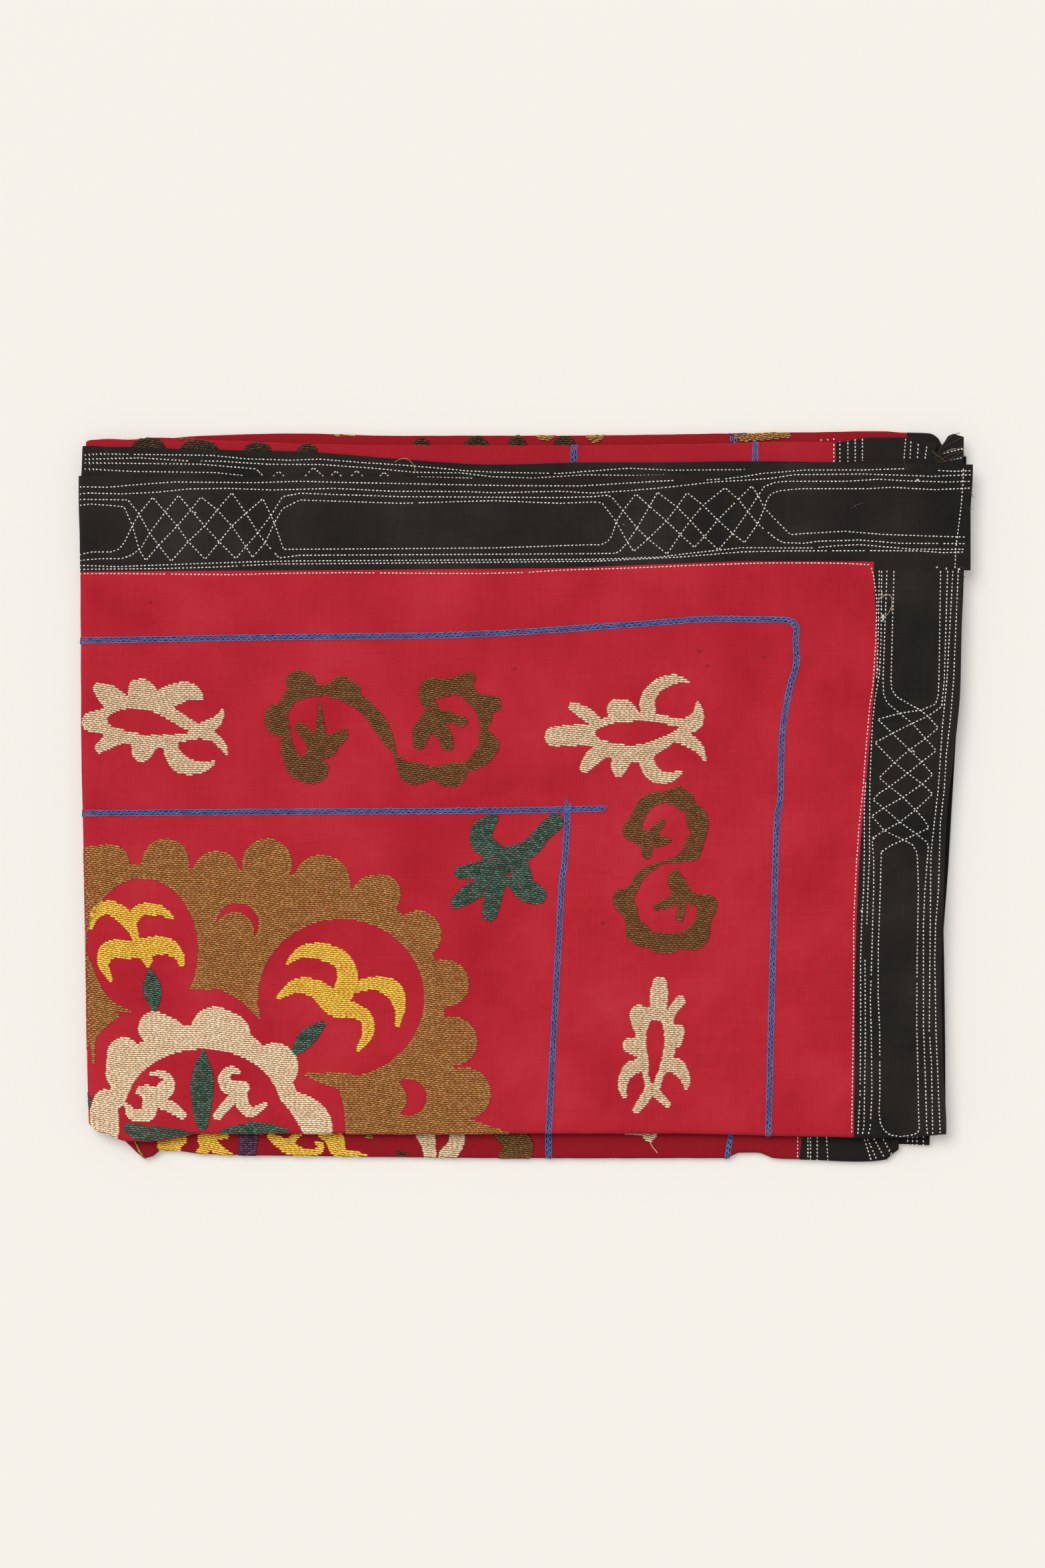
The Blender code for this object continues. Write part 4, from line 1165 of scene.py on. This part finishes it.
def make_end_strip(name, node, material, second_end, step, row_places):
    """A strip across one end of the cloth, from edge to edge."""
    along = row_places[None, :]
    edges = side_lines(np.array([7.0 if second_end else 0.0]), np.array([0.0]))
    steps = across_steps(edges[0][0], edges[3][0], step, LOWER_STEP)[:, None]
    p = steps + 0 * along
    for _ in range(2):
        first, second = seam_sections(p)
        section = second + (7 - second) * along if second_end else first * along
        y = section_path(p, q_at(p, section), 0.0)[0]
        p = follow_left_fold(steps, y)
        edges = side_lines(section, y)
        p[0] = edges[0][0]
        p[-1] = edges[3][-1]
    q = q_at(p, section)
    if second_end:
        q[:, 0] += SEAM_OVERLAP
    else:
        q[:, -1] -= SEAM_OVERLAP
    return closed_sheet(name, node, p, q, STRIP_THICKNESS, material)


# One stitch is a closed grain of two tips and three rings of four points. Its profile along the
# stitch: place from -1 to 1, width. Its points around: side, height, tone.
# The tones are painted shade and highlight: darkest underneath, dark at the tips and sides, lightest on the
# top ridge.
GRAIN_RINGS = ((-0.62, 0.86), (0.0, 1.0), (0.62, 0.86))
GRAIN_AROUND = ((-1.0, 0.12, 0.42), (0.0, 1.0, 1.0), (1.0, 0.12, 0.42), (0.0, -0.2, 0.0))


def grain_faces():
    """Faces of one grain, by the numbers of its points."""
    around = len(GRAIN_AROUND)
    rings = len(GRAIN_RINGS)
    faces = []
    for k in range(around):
        after = (k + 1) % around
        faces.append((0, 1 + after, 1 + k))
        for ring in range(rings - 1):
            low, high = 1 + ring * around, 1 + (ring + 1) * around
            faces.append((low + k, low + after, high + after, high + k))
        last = 1 + (rings - 1) * around
        faces.append((last + k, last + after, 1 + rings * around))
    return faces


def make_grains(p, q, along_p, along_q, length, half_width, height, base, brightness):
    """Points and tones of many grains that lie on the cloth at p, q and point along a direction. The tones
    are painted shade and highlight, scaled by each grain's brightness.
    """
    profile = [(-1.0, 0.0, 0.0, 0.15, 0.10)]
    for place, width in GRAIN_RINGS:
        for side, up, tone in GRAIN_AROUND:
            profile.append((place, side * width, up * width, tone, 0.0))
    profile.append((1.0, 0.0, 0.0, 0.15, 0.10))
    place, side, up, tone, lift = np.array(profile).T
    forward = place[None] * length[:, None] / 2
    aside = side[None] * half_width[:, None]
    at_p = p[:, None] + forward * along_p[:, None] - aside * along_q[:, None]
    at_q = q[:, None] + forward * along_q[:, None] + aside * along_p[:, None]
    return at_p, at_q, (up + lift)[None] * height[:, None] + base[:, None], tone[None] * brightness[:, None]


def surface_offset(p, q, side, thickness):
    """How far the cloth's visible face lies from its middle, towards the right side."""
    drawn_in = np.minimum(channel_depth(p, q), DEEPEST_SHARE * thickness)
    return relief(p, q) + side * (thickness / 2 - drawn_in)


def grain_object(name, thread, grains, side, thickness, extra=None):
    """One object of many grains, with any further points and faces."""
    at_p, at_q, up, tone = grains
    offset = surface_offset(at_p, at_q, side, thickness) + side * up
    vertices = fold(at_p, at_q, offset).reshape(-1, 3)
    pattern = np.array([face for face in grain_faces() if len(face) == 4])
    tips = np.array([face for face in grain_faces() if len(face) == 3])
    starts = (np.arange(len(at_p)) * at_p.shape[1])[:, None, None]
    quads = (pattern[None] + starts).reshape(-1, 4)
    triangles = (tips[None] + starts).reshape(-1, 3)
    if side == WRONG:
        quads, triangles = quads[:, ::-1], triangles[:, ::-1]
    faces = quads.tolist() + triangles.tolist()
    tones = tone.reshape(-1)
    if extra is not None:
        more_vertices, more_faces, more_tones = extra
        faces += [[n + len(vertices) for n in face] for face in more_faces]
        vertices = np.concatenate([vertices, more_vertices])
        tones = np.concatenate([tones, more_tones])
    return add_object(name, vertices, faces, thread_material(thread), tones)


def covered(x, y, shapes):
    """Whether places lie inside a design of discs and ellipses that are laid one after another."""
    inside = np.zeros(x.shape, bool)
    for laid, discs in shapes:
        along_x = (x[:, None] - discs[:, 0]) / discs[:, 2]
        along_y = (y[:, None] - discs[:, 1]) / discs[:, 3]
        near = (along_x ** 2 + along_y ** 2 < 1).any(axis=1)
        inside = inside | near if laid else inside & ~near
    return inside


def shows(x, y, layer):
    """Whether places lie on the layer as seen from above, or a little way round its folds."""
    at_x, at_y = from_photo(x, y)
    if layer != "top":
        return np.full(x.shape, True)
    past_left = at_x < left_axis(at_y) - FOLD_RADIUS - WRAP
    past_bottom = at_y < fold_lines(at_x)[1] - WRAP
    return ~past_left & ~past_bottom


def design_discs(design):
    """Turn each stroke of a design into ellipses close together: x, y, half width, half height."""
    shapes = []
    for laid, strokes in design:
        for stroke in strokes:
            if len(stroke[0]) == 4:
                discs = np.array(stroke, float)
            else:
                places = np.array(stroke, float)
                if len(places) > 1:
                    places = smooth_points(places, 1.5)
                size = np.maximum(places[:, 2:3], 0.5)
                discs = np.concatenate([places[:, :2], size, size], axis=1)
            shapes.append((laid, discs))
    return shapes


def row_stitches(x, y, inside, row):
    """Split one row where it lies inside the design into stitches: start x and end x."""
    edges = np.diff(np.concatenate([[0], inside.astype(int), [0]]))
    runs = zip(np.flatnonzero(edges == 1), np.flatnonzero(edges == -1) - 1)
    phase = (row % 2) * STITCH_STEP / 2 + rng.uniform(-1.2, 1.2)
    made = []
    for first, last in runs:
        start = x[first] + rng.uniform(-RAGGED, RAGGED)
        end = x[last] + rng.uniform(-RAGGED, RAGGED)
        if end - start < SHORTEST_RUN:
            continue
        numbers = np.arange(np.ceil((start - phase) / STITCH_STEP), np.floor((end - phase) / STITCH_STEP) + 1)
        cuts = phase + numbers * STITCH_STEP + rng.uniform(-0.9, 0.9, len(numbers))
        cuts = cuts[(cuts > start + SHORTEST_STITCH) & (cuts < end - SHORTEST_STITCH)]
        made.append(np.concatenate([[start], cuts, [end]]))
    return made


def make_embroidery(name, thread, layer, slope, design):
    """Fill one design with rows of stitches, each row on a thin dark ridge that paints the shade between its
    stitches.
    """
    shapes = design_discs(design)
    fills = np.concatenate([discs for laid, discs in shapes if laid])
    low_x, high_x = (fills[:, 0] - fills[:, 2]).min(), (fills[:, 0] + fills[:, 2]).max()
    low_y, high_y = (fills[:, 1] - fills[:, 3]).min(), (fills[:, 1] + fills[:, 3]).max()
    x = np.arange(low_x, high_x, SAMPLE_STEP)
    drift = slope * (x - low_x) + 1.6 * np.sin(x / 34.0 + low_y) + 0.8 * np.sin(x / 13.0)
    first_row = low_y - drift.max()
    centres, shade_underlay = [], ([], [], [])
    for row in range(int((high_y - first_row) / ROW_STEP) + 1):
        y = first_row + row * ROW_STEP + drift
        inside = covered(x, y, shapes) & shows(x, y, layer)
        for cuts in row_stitches(x, y, inside, row):
            heights = np.interp(cuts, x, y)
            add_shade_underlay(shade_underlay, cuts, heights, layer, SHADE_UNDERLAY_WIDTH)
            middle_x, middle_y = (cuts[1:] + cuts[:-1]) / 2, (heights[1:] + heights[:-1]) / 2
            centres.append(np.stack([middle_x, middle_y, np.diff(cuts), np.diff(heights)], axis=1))
    if not centres:
        raise ValueError(name + " has no stitches")
    middle_x, middle_y, run_x, run_y = np.concatenate(centres).T
    count = len(middle_x)
    p, q = unfold(*from_photo(middle_x, middle_y), layer)
    ahead_p, ahead_q = unfold(*from_photo(middle_x + 0.5, middle_y + 0.5 * run_y / run_x), layer)
    turn = np.arctan2(ahead_q - q, ahead_p - p) + rng.normal(0, STITCH_TURN, count)
    length = (np.hypot(run_x, run_y) + STITCH_LAP) * PIXEL
    half_width = STITCH_HALF_WIDTH * rng.uniform(0.88, 1.12, count)
    height = STITCH_HEIGHT * rng.uniform(0.8, 1.15, count)
    brightness = rng.uniform(*STITCH_BRIGHTNESS, count)
    grains = make_grains(p, q, np.cos(turn), np.sin(turn), length, half_width, height,
                         STITCH_CLEAR + 0 * length, brightness)
    extra = [np.concatenate(shade_underlay[0]), shade_underlay[1], np.concatenate(shade_underlay[2])]
    return grain_object("embroidery_" + name, thread, grains, RIGHT, FIELD_THICKNESS, extra)


def add_shade_underlay(shade_underlay, cuts, heights, layer, half):
    """Add one row's thin closed ridge of painted shade: a low ridge with its two edges on the cloth, dark to
    fill the slits between stitches.
    """
    vertices, faces, tones = shade_underlay
    p, q = unfold(*from_photo(cuts, heights), layer)
    along_p, along_q = np.gradient(p), np.gradient(q)
    length = np.hypot(along_p, along_q)
    side_p, side_q = -along_q / length, along_p / length
    start = sum(len(part) for part in vertices)
    rings = []
    for side, up in ((-1, -SHADE_UNDERLAY_SINK), (0, SHADE_UNDERLAY_HEIGHT), (1, -SHADE_UNDERLAY_SINK)):
        at_p, at_q = p + side * half * side_p, q + side * half * side_q
        rings.append(fold(at_p, at_q, surface_offset(at_p, at_q, RIGHT, FIELD_THICKNESS) + up))
    count = len(cuts)
    vertices.append(np.stack(rings, axis=1).reshape(-1, 3))
    tones.append(np.full(3 * count, SHADE_UNDERLAY_TONE))
    for k in range(count - 1):
        here, there = start + 3 * k, start + 3 * (k + 1)
        for a, b in ((0, 1), (1, 2), (2, 0)):
            faces.append((here + b, here + a, there + a, there + b))
    faces.append((start, start + 1, start + 2))
    last = start + 3 * (count - 1)
    faces.append((last + 2, last + 1, last))


def make_machine_stitches():
    """Every white machine stitch on the border strips and beside their seams."""
    groups = {}
    for layer, side, points in white_line_places():
        places, ahead = stitched_places(points)
        places = places + ahead * rng.uniform(-0.5, 0.5, (len(places), 1))
        p, q = unfold(*from_photo(*places.T), layer)
        next_p, next_q = unfold(*from_photo(*(places + 0.5 * ahead).T), layer)
        turn = np.arctan2(next_q - q, next_p - p) + MACHINE_SLANT + rng.normal(0, 0.05, len(p))
        length = MACHINE_LENGTH * PIXEL * rng.uniform(0.82, 1.08, len(p))
        shown = rng.uniform(0, 1, len(p)) > MISSED_SHARE
        part = np.stack([p, q, np.cos(turn), np.sin(turn), length], axis=1)[shown]
        groups.setdefault((layer, side), []).append(part)
    made = []
    for (layer, side), parts in groups.items():
        p, q, along_p, along_q, length = np.concatenate(parts).T
        count = len(p)
        half_width = MACHINE_HALF_WIDTH * rng.uniform(0.85, 1.15, count)
        height = MACHINE_HEIGHT * rng.uniform(0.9, 1.1, count)
        grains = make_grains(p, q, along_p, along_q, length, half_width, height, MACHINE_CLEAR + 0 * p,
                             rng.uniform(0.7, 1.0, count))
        made.append(grain_object("machine_stitches_" + layer, "white", grains, side, STRIP_THICKNESS))
    return made


def tube(path_p, path_q, up, radius, side, thickness, closed):
    """Points and faces of a thin thread along a path on the cloth."""
    if closed:
        along_p = np.roll(path_p, -1) - np.roll(path_p, 1)
        along_q = np.roll(path_q, -1) - np.roll(path_q, 1)
    else:
        along_p, along_q = np.gradient(path_p), np.gradient(path_q)
    length = np.hypot(along_p, along_q) + 1e-9
    rings = []
    for aside, above in ((-1, 0), (0, 1), (1, 0), (0, -1)):
        at_p = path_p - aside * radius * along_q / length
        at_q = path_q + aside * radius * along_p / length
        offset = surface_offset(at_p, at_q, side, thickness) + side * (up + above * radius)
        rings.append(fold(at_p, at_q, offset))
    vertices = np.stack(rings, axis=1).reshape(-1, 3)
    count = len(path_p)
    faces = []
    for k in range(count if closed else count - 1):
        here, there = 4 * k, 4 * ((k + 1) % count)
        for a in range(4):
            b = (a + 1) % 4
            face = (here + b, here + a, there + a, there + b)
            faces.append(face if side == WRONG else face[::-1])
    if not closed:
        last = 4 * (count - 1)
        ends = [(0, 1, 2, 3), (last + 3, last + 2, last + 1, last)]
        faces += ends if side == WRONG else [end[::-1] for end in ends]
    return vertices, faces


# One link of chain stitch, seen from above: place along the line from 0 to 1, place aside, height.
LINK_PATH = np.array([
    (0.00, 0.10, 0.2), (0.18, 0.62, 0.5), (0.45, 1.00, 0.8), (0.75, 0.80, 1.0), (0.98, 0.22, 1.2),
    (0.98, -0.22, 1.2), (0.75, -0.80, 1.0), (0.45, -1.00, 0.8), (0.18, -0.62, 0.5), (0.00, -0.10, 0.2),
])


def make_blue_lines():
    """The blue chain lines: two rows of links side by side, on a dark ridge that is partly the thread's other
    strands and partly painted shade in the gaps.
    """
    vertices, faces, tones = [], [], []
    start = 0
    for layer, points in BLUE_LINES:
        route = smooth_points(points, 2.0)
        places = straight_points(route, LINK_STEP / PIXEL)
        ahead = np.gradient(places, axis=0)
        ahead /= np.hypot(*ahead.T)[:, None]
        p, q = unfold(*from_photo(*places.T), layer)
        next_p, next_q = unfold(*from_photo(*(places + 0.5 * ahead).T), layer)
        turn = np.arctan2(next_q - q, next_p - p)
        shade_underlay = ([], [], [])
        add_shade_underlay(shade_underlay, *places.T, layer, LINK_SHADE_UNDERLAY)
        vertices += shade_underlay[0]
        tones += shade_underlay[2]
        faces += [[n + start for n in face] for face in shade_underlay[1]]
        start += len(shade_underlay[0][0])
        for row_side in (-1, 1):
            for k in range(len(p)):
                angle = turn[k] + rng.normal(0, 0.06)
                aside = row_side * LINK_ROW_OFFSET + rng.normal(0, 0.0001)
                length = LINK_LENGTH * rng.uniform(0.93, 1.06)
                forward = (LINK_PATH[:, 0] - 0.5 + 0.25 * row_side) * length
                sideways = LINK_PATH[:, 1] * LINK_HALF_WIDTH * rng.uniform(0.85, 1.1) + aside
                path_p = p[k] + forward * np.cos(angle) - sideways * np.sin(angle)
                path_q = q[k] + forward * np.sin(angle) + sideways * np.cos(angle)
                up = LINK_THREAD * LINK_PATH[:, 2]
                points_made, faces_made = tube(path_p, path_q, up, LINK_THREAD, RIGHT, FIELD_THICKNESS, True)
                vertices.append(points_made)
                faces += [[n + start for n in face] for face in faces_made]
                # Tones paint shade on each link's sides and underside and a highlight on its top.
                tones.append(np.tile([0.45, 1.0, 0.45, 0.1], len(path_p)) * rng.uniform(0.65, 1.0))
                start += len(points_made)
    return add_object("blue_chain_lines", np.concatenate(vertices), faces, thread_material("blue"),
                      np.concatenate(tones))


def make_loose_threads():
    """Loose threads that lie on the cloth, one object for each group."""
    for name, thread, layer, side, radius, up, paths in LOOSE_THREADS:
        thickness = STRIP_THICKNESS if layer == "second_end" else FIELD_THICKNESS
        vertices, faces, tones = [], [], []
        start = 0
        for path in paths:
            places = smooth_points(path, 1.5)
            p, q = unfold(*from_photo(*places.T), layer)
            made, made_faces = tube(p, q, up + 0 * p, radius, side, thickness, False)
            vertices.append(made)
            faces += [[n + start for n in face] for face in made_faces]
            # Tones paint shade on each thread's sides and underside and a highlight on its top.
            tones.append(np.tile([0.4, 1.0, 0.4, 0.1], len(p)))
            start += len(made)
        add_object(name, np.concatenate(vertices), faces, thread_material(thread), np.concatenate(tones))


def make_knots():
    """Small knots and darned spots: two short stitches across each other."""
    for name, thread, layer, thickness, spots in KNOTS:
        x, y, length = np.repeat(np.array(spots, float), 2, axis=0).T
        p, q = unfold(*from_photo(x, y), layer)
        turn = rng.uniform(0, np.pi, len(x)) + np.tile([0.0, KNOT_CROSSING], len(spots))
        half_width = 0.15 * length * PIXEL
        grains = make_grains(p, q, np.cos(turn), np.sin(turn), length * PIXEL, half_width, 0.8 * half_width,
                             MACHINE_CLEAR + 0 * p, 0.9 + 0 * p)
        grain_object(name, thread, grains, RIGHT, thickness)


def add_node(tree, kind, **settings):
    """Add a node and set its named properties and inputs."""
    node = tree.nodes.new(kind)
    for name, value in settings.items():
        if hasattr(node, name):
            setattr(node, name, value)
        else:
            node.inputs[name.replace("_", " ")].default_value = value
    return node


def ramp_colours(node, stops):
    """Set a colour ramp's stops: place and colour."""
    elements = node.color_ramp.elements
    while len(elements) < len(stops):
        elements.new(0.5)
    for element, (place, colour) in zip(elements, stops):
        element.position = place
        element.color = colour


def scaled_place(tree, scale):
    """The place on the object, stretched along each axis."""
    place = add_node(tree, "ShaderNodeTexCoord")
    mapping = add_node(tree, "ShaderNodeMapping")
    mapping.inputs["Scale"].default_value = scale
    tree.links.new(place.outputs["Object"], mapping.inputs["Vector"])
    return mapping.outputs["Vector"]


def noise(tree, scale, detail):
    """A noise texture whose grains are stretched along the axes by scale."""
    node = add_node(tree, "ShaderNodeTexNoise", Scale=1.0, Detail=detail)
    tree.links.new(scaled_place(tree, scale), node.inputs["Vector"])
    return node.outputs["Fac"]


def weave_wave(tree, direction, scale):
    """Fine parallel threads across one axis."""
    node = add_node(tree, "ShaderNodeTexWave", bands_direction=direction, Scale=scale, Distortion=0.6)
    tree.links.new(scaled_place(tree, (1.0, 1.0, 1.0)), node.inputs["Vector"])
    return node.outputs["Fac"]


def math_node(tree, operation, first, second):
    """Join two values, each an output or a number."""
    node = add_node(tree, "ShaderNodeMath", operation=operation)
    for slot_in, value in zip(node.inputs, (first, second)):
        if isinstance(value, (int, float)):
            slot_in.default_value = value
        else:
            tree.links.new(value, slot_in)
    return node.outputs[0]


def bump(tree, height, strength, distance, before=None):
    """A bump from a height, on top of an earlier one."""
    node = add_node(tree, "ShaderNodeBump", Strength=strength, Distance=distance)
    tree.links.new(height, node.inputs["Height"])
    if before is not None:
        tree.links.new(before, node.inputs["Normal"])
    return node.outputs["Normal"]


def fade_and_layer_shade(tree, colour, unfaded_and_shaded):
    """The colour where light has bleached the cloth, and a deeper one on the layers further down: partly
    unbleached dye, partly painted shade under the upper layers.
    """
    place = add_node(tree, "ShaderNodeTexCoord")
    split = add_node(tree, "ShaderNodeSeparateXYZ")
    share = add_node(tree, "ShaderNodeMapRange", From_Min=FADE_AND_SHADE_FROM, From_Max=FADE_AND_SHADE_TO)
    mix = add_node(tree, "ShaderNodeMixRGB", Color1=linear(unfaded_and_shaded))
    tree.links.new(place.outputs["Object"], split.inputs["Vector"])
    tree.links.new(split.outputs["Z"], share.inputs["Value"])
    tree.links.new(share.outputs["Result"], mix.inputs["Fac"])
    tree.links.new(colour, mix.inputs["Color2"])
    return mix.outputs["Color"]


def cloth_material(name, dark, plain, pale, unfaded_and_shaded, roughness):
    """Plain woven cotton: mottled colour, slubs in both directions, weave and fine crinkles, and a deeper
    colour low in the pack, partly painted shade.
    """
    material = bpy.data.materials.new(name)
    material.use_nodes = True
    tree = material.node_tree
    shader = tree.nodes["Principled BSDF"]
    shader.inputs["Roughness"].default_value = roughness
    shader.inputs["Specular IOR Level"].default_value = 0.12
    shader.inputs["Sheen Weight"].default_value = 0.02
    mottle = noise(tree, (14.0, 14.0, 14.0), 5.0)
    slub_level = noise(tree, (30.0, 1300.0, 30.0), 2.0)
    slub_upright = noise(tree, (1300.0, 30.0, 30.0), 2.0)
    slubs = math_node(tree, "ADD", slub_level, slub_upright)
    slubs = math_node(tree, "MULTIPLY", slubs, 0.20)
    tone = math_node(tree, "ADD", math_node(tree, "MULTIPLY", mottle, 0.80), slubs)
    ramp = add_node(tree, "ShaderNodeValToRGB")
    ramp_colours(ramp, [(0.40, linear(dark)), (0.64, linear(plain)), (0.90, linear(pale))])
    tree.links.new(tone, ramp.inputs["Fac"])
    # Deeper colour on the lower layers: partly unbleached dye, partly painted shade under the upper layers.
    tree.links.new(fade_and_layer_shade(tree, ramp.outputs["Color"], unfaded_and_shaded), shader.inputs["Base Color"])
    weave = math_node(tree, "MULTIPLY", weave_wave(tree, "X", 640.0), weave_wave(tree, "Y", 640.0))
    normal = bump(tree, weave, 0.35, 0.00015)
    normal = bump(tree, slubs, 0.5, 0.0003, normal)
    normal = bump(tree, noise(tree, (55.0, 55.0, 55.0), 4.0), 0.35, 0.0030, normal)
    tree.links.new(normal, shader.inputs["Normal"])
    return material


def thread_material(thread):
    """A thread's colour by its tone, with fine fibres along it: painted shade in the slits and on the sides,
    a painted highlight on top. Each thread has one material.
    """
    name = thread + "_thread"
    if name in bpy.data.materials:
        return bpy.data.materials[name]
    slit, plain, light = THREADS[thread]
    material = bpy.data.materials.new(name)
    material.use_nodes = True
    tree = material.node_tree
    shader = tree.nodes["Principled BSDF"]
    shader.inputs["Roughness"].default_value = 0.62
    shader.inputs["Specular IOR Level"].default_value = 0.20
    shader.inputs["Sheen Weight"].default_value = 0.03
    attribute = add_node(tree, "ShaderNodeAttribute", attribute_name="tone")
    fibres = noise(tree, (500.0, 2600.0, 1500.0), 3.0)
    tone = math_node(tree, "MULTIPLY_ADD", fibres, FIBRE_CONTRAST)
    tone.node.inputs[2].default_value = -FIBRE_CONTRAST / 2
    tone = math_node(tree, "ADD", attribute.outputs["Fac"], tone)
    ramp = add_node(tree, "ShaderNodeValToRGB")
    # The slit colour is painted shade and the light colour a painted highlight.
    ramp_colours(ramp, [(0.05, linear(slit)), (0.45, linear(plain)), (0.98, linear(light))])
    tree.links.new(tone, ramp.inputs["Fac"])
    tree.links.new(ramp.outputs["Color"], shader.inputs["Base Color"])
    tree.links.new(bump(tree, fibres, 0.5, 0.0003), shader.inputs["Normal"])
    return material


def make_floor():
    """A plain pale floor that glows a little, so that it stays even under the pack."""
    mesh = bpy.data.meshes.new("floor")
    half = FLOOR_SIZE / 2
    corners = [(-half, -half, 0), (half, -half, 0), (half, half, 0), (-half, half, 0)]
    mesh.from_pydata(corners, [], [(0, 1, 2, 3)])
    material = bpy.data.materials.new("floor")
    material.use_nodes = True
    shader = material.node_tree.nodes["Principled BSDF"]
    shader.inputs["Base Color"].default_value = FLOOR_COLOUR
    shader.inputs["Roughness"].default_value = 0.9
    shader.inputs["Emission Color"].default_value = FLOOR_COLOUR
    shader.inputs["Emission Strength"].default_value = FLOOR_GLOW
    mesh.materials.append(material)
    item = bpy.data.objects.new("floor", mesh)
    bpy.context.scene.collection.objects.link(item)


def make_light():
    """Soft light from all round and one large soft lamp, far off to the upper left."""
    world = bpy.data.worlds.new("studio")
    bpy.context.scene.world = world
    world.use_nodes = True
    sky = world.node_tree.nodes["Background"]
    sky.inputs["Color"].default_value = SKY_COLOUR
    sky.inputs["Strength"].default_value = SKY_STRENGTH
    data = bpy.data.lights.new("soft_light", "SUN")
    data.energy = LIGHT_STRENGTH
    data.angle = LIGHT_ANGLE
    item = bpy.data.objects.new("soft_light", data)
    item.location = LIGHT_PLACE
    item.rotation_euler = item.location.to_track_quat("Z", "Y").to_euler()
    bpy.context.scene.collection.objects.link(item)


def make_camera():
    """A camera straight above, with the top of the image towards +Y."""
    data = bpy.data.cameras.new("camera")
    data.lens = LENS
    data.sensor_fit = "VERTICAL"
    data.sensor_height = SENSOR_HEIGHT
    data.clip_end = 50.0
    data.dof.use_dof = False
    item = bpy.data.objects.new("camera", data)
    item.location = (CAMERA_X, CAMERA_Y, CAMERA_ABOVE)
    bpy.context.scene.collection.objects.link(item)
    bpy.context.scene.camera = item


def main():
    """Build the cloth, its sewing, the floor, the light and the camera."""
    bpy.context.scene.view_settings.view_transform = "Standard"
    # The fourth colour of each cloth is its deeper one on the lower layers: partly unbleached dye, partly
    # painted shade.
    red = cloth_material("red_cotton", (168, 24, 40), (182, 36, 50), (192, 50, 62), (146, 20, 32), 0.86)
    black = cloth_material("black_cotton", (26, 24, 22), (38, 35, 32), (54, 50, 46), (32, 29, 27), 0.88)
    make_field(red)
    make_end_strip("black_strip_top", "border_top", black, False, TOP_STRIP_STEP,
                   np.linspace(0, 1, TOP_STRIP_ROWS + 1))
    make_end_strip("black_strip_bottom", "border_bottom", black, True, FIELD_STEP,
                   np.linspace(0, 1, BOTTOM_STRIP_ROWS + 1) ** 0.6)
    make_side_strip("black_strip_right", "border_right", black, False, SIDE_STRIP_STEPS, SIDE_ROWS)
    make_side_strip("black_strip_left", "border_left", black, True, LOWER_STRIP_STEPS, FIELD_ROWS)
    for motif in MOTIFS:
        make_embroidery(*motif)
    make_machine_stitches()
    make_blue_lines()
    make_loose_threads()
    make_knots()
    make_floor()
    make_light()
    make_camera()


main()
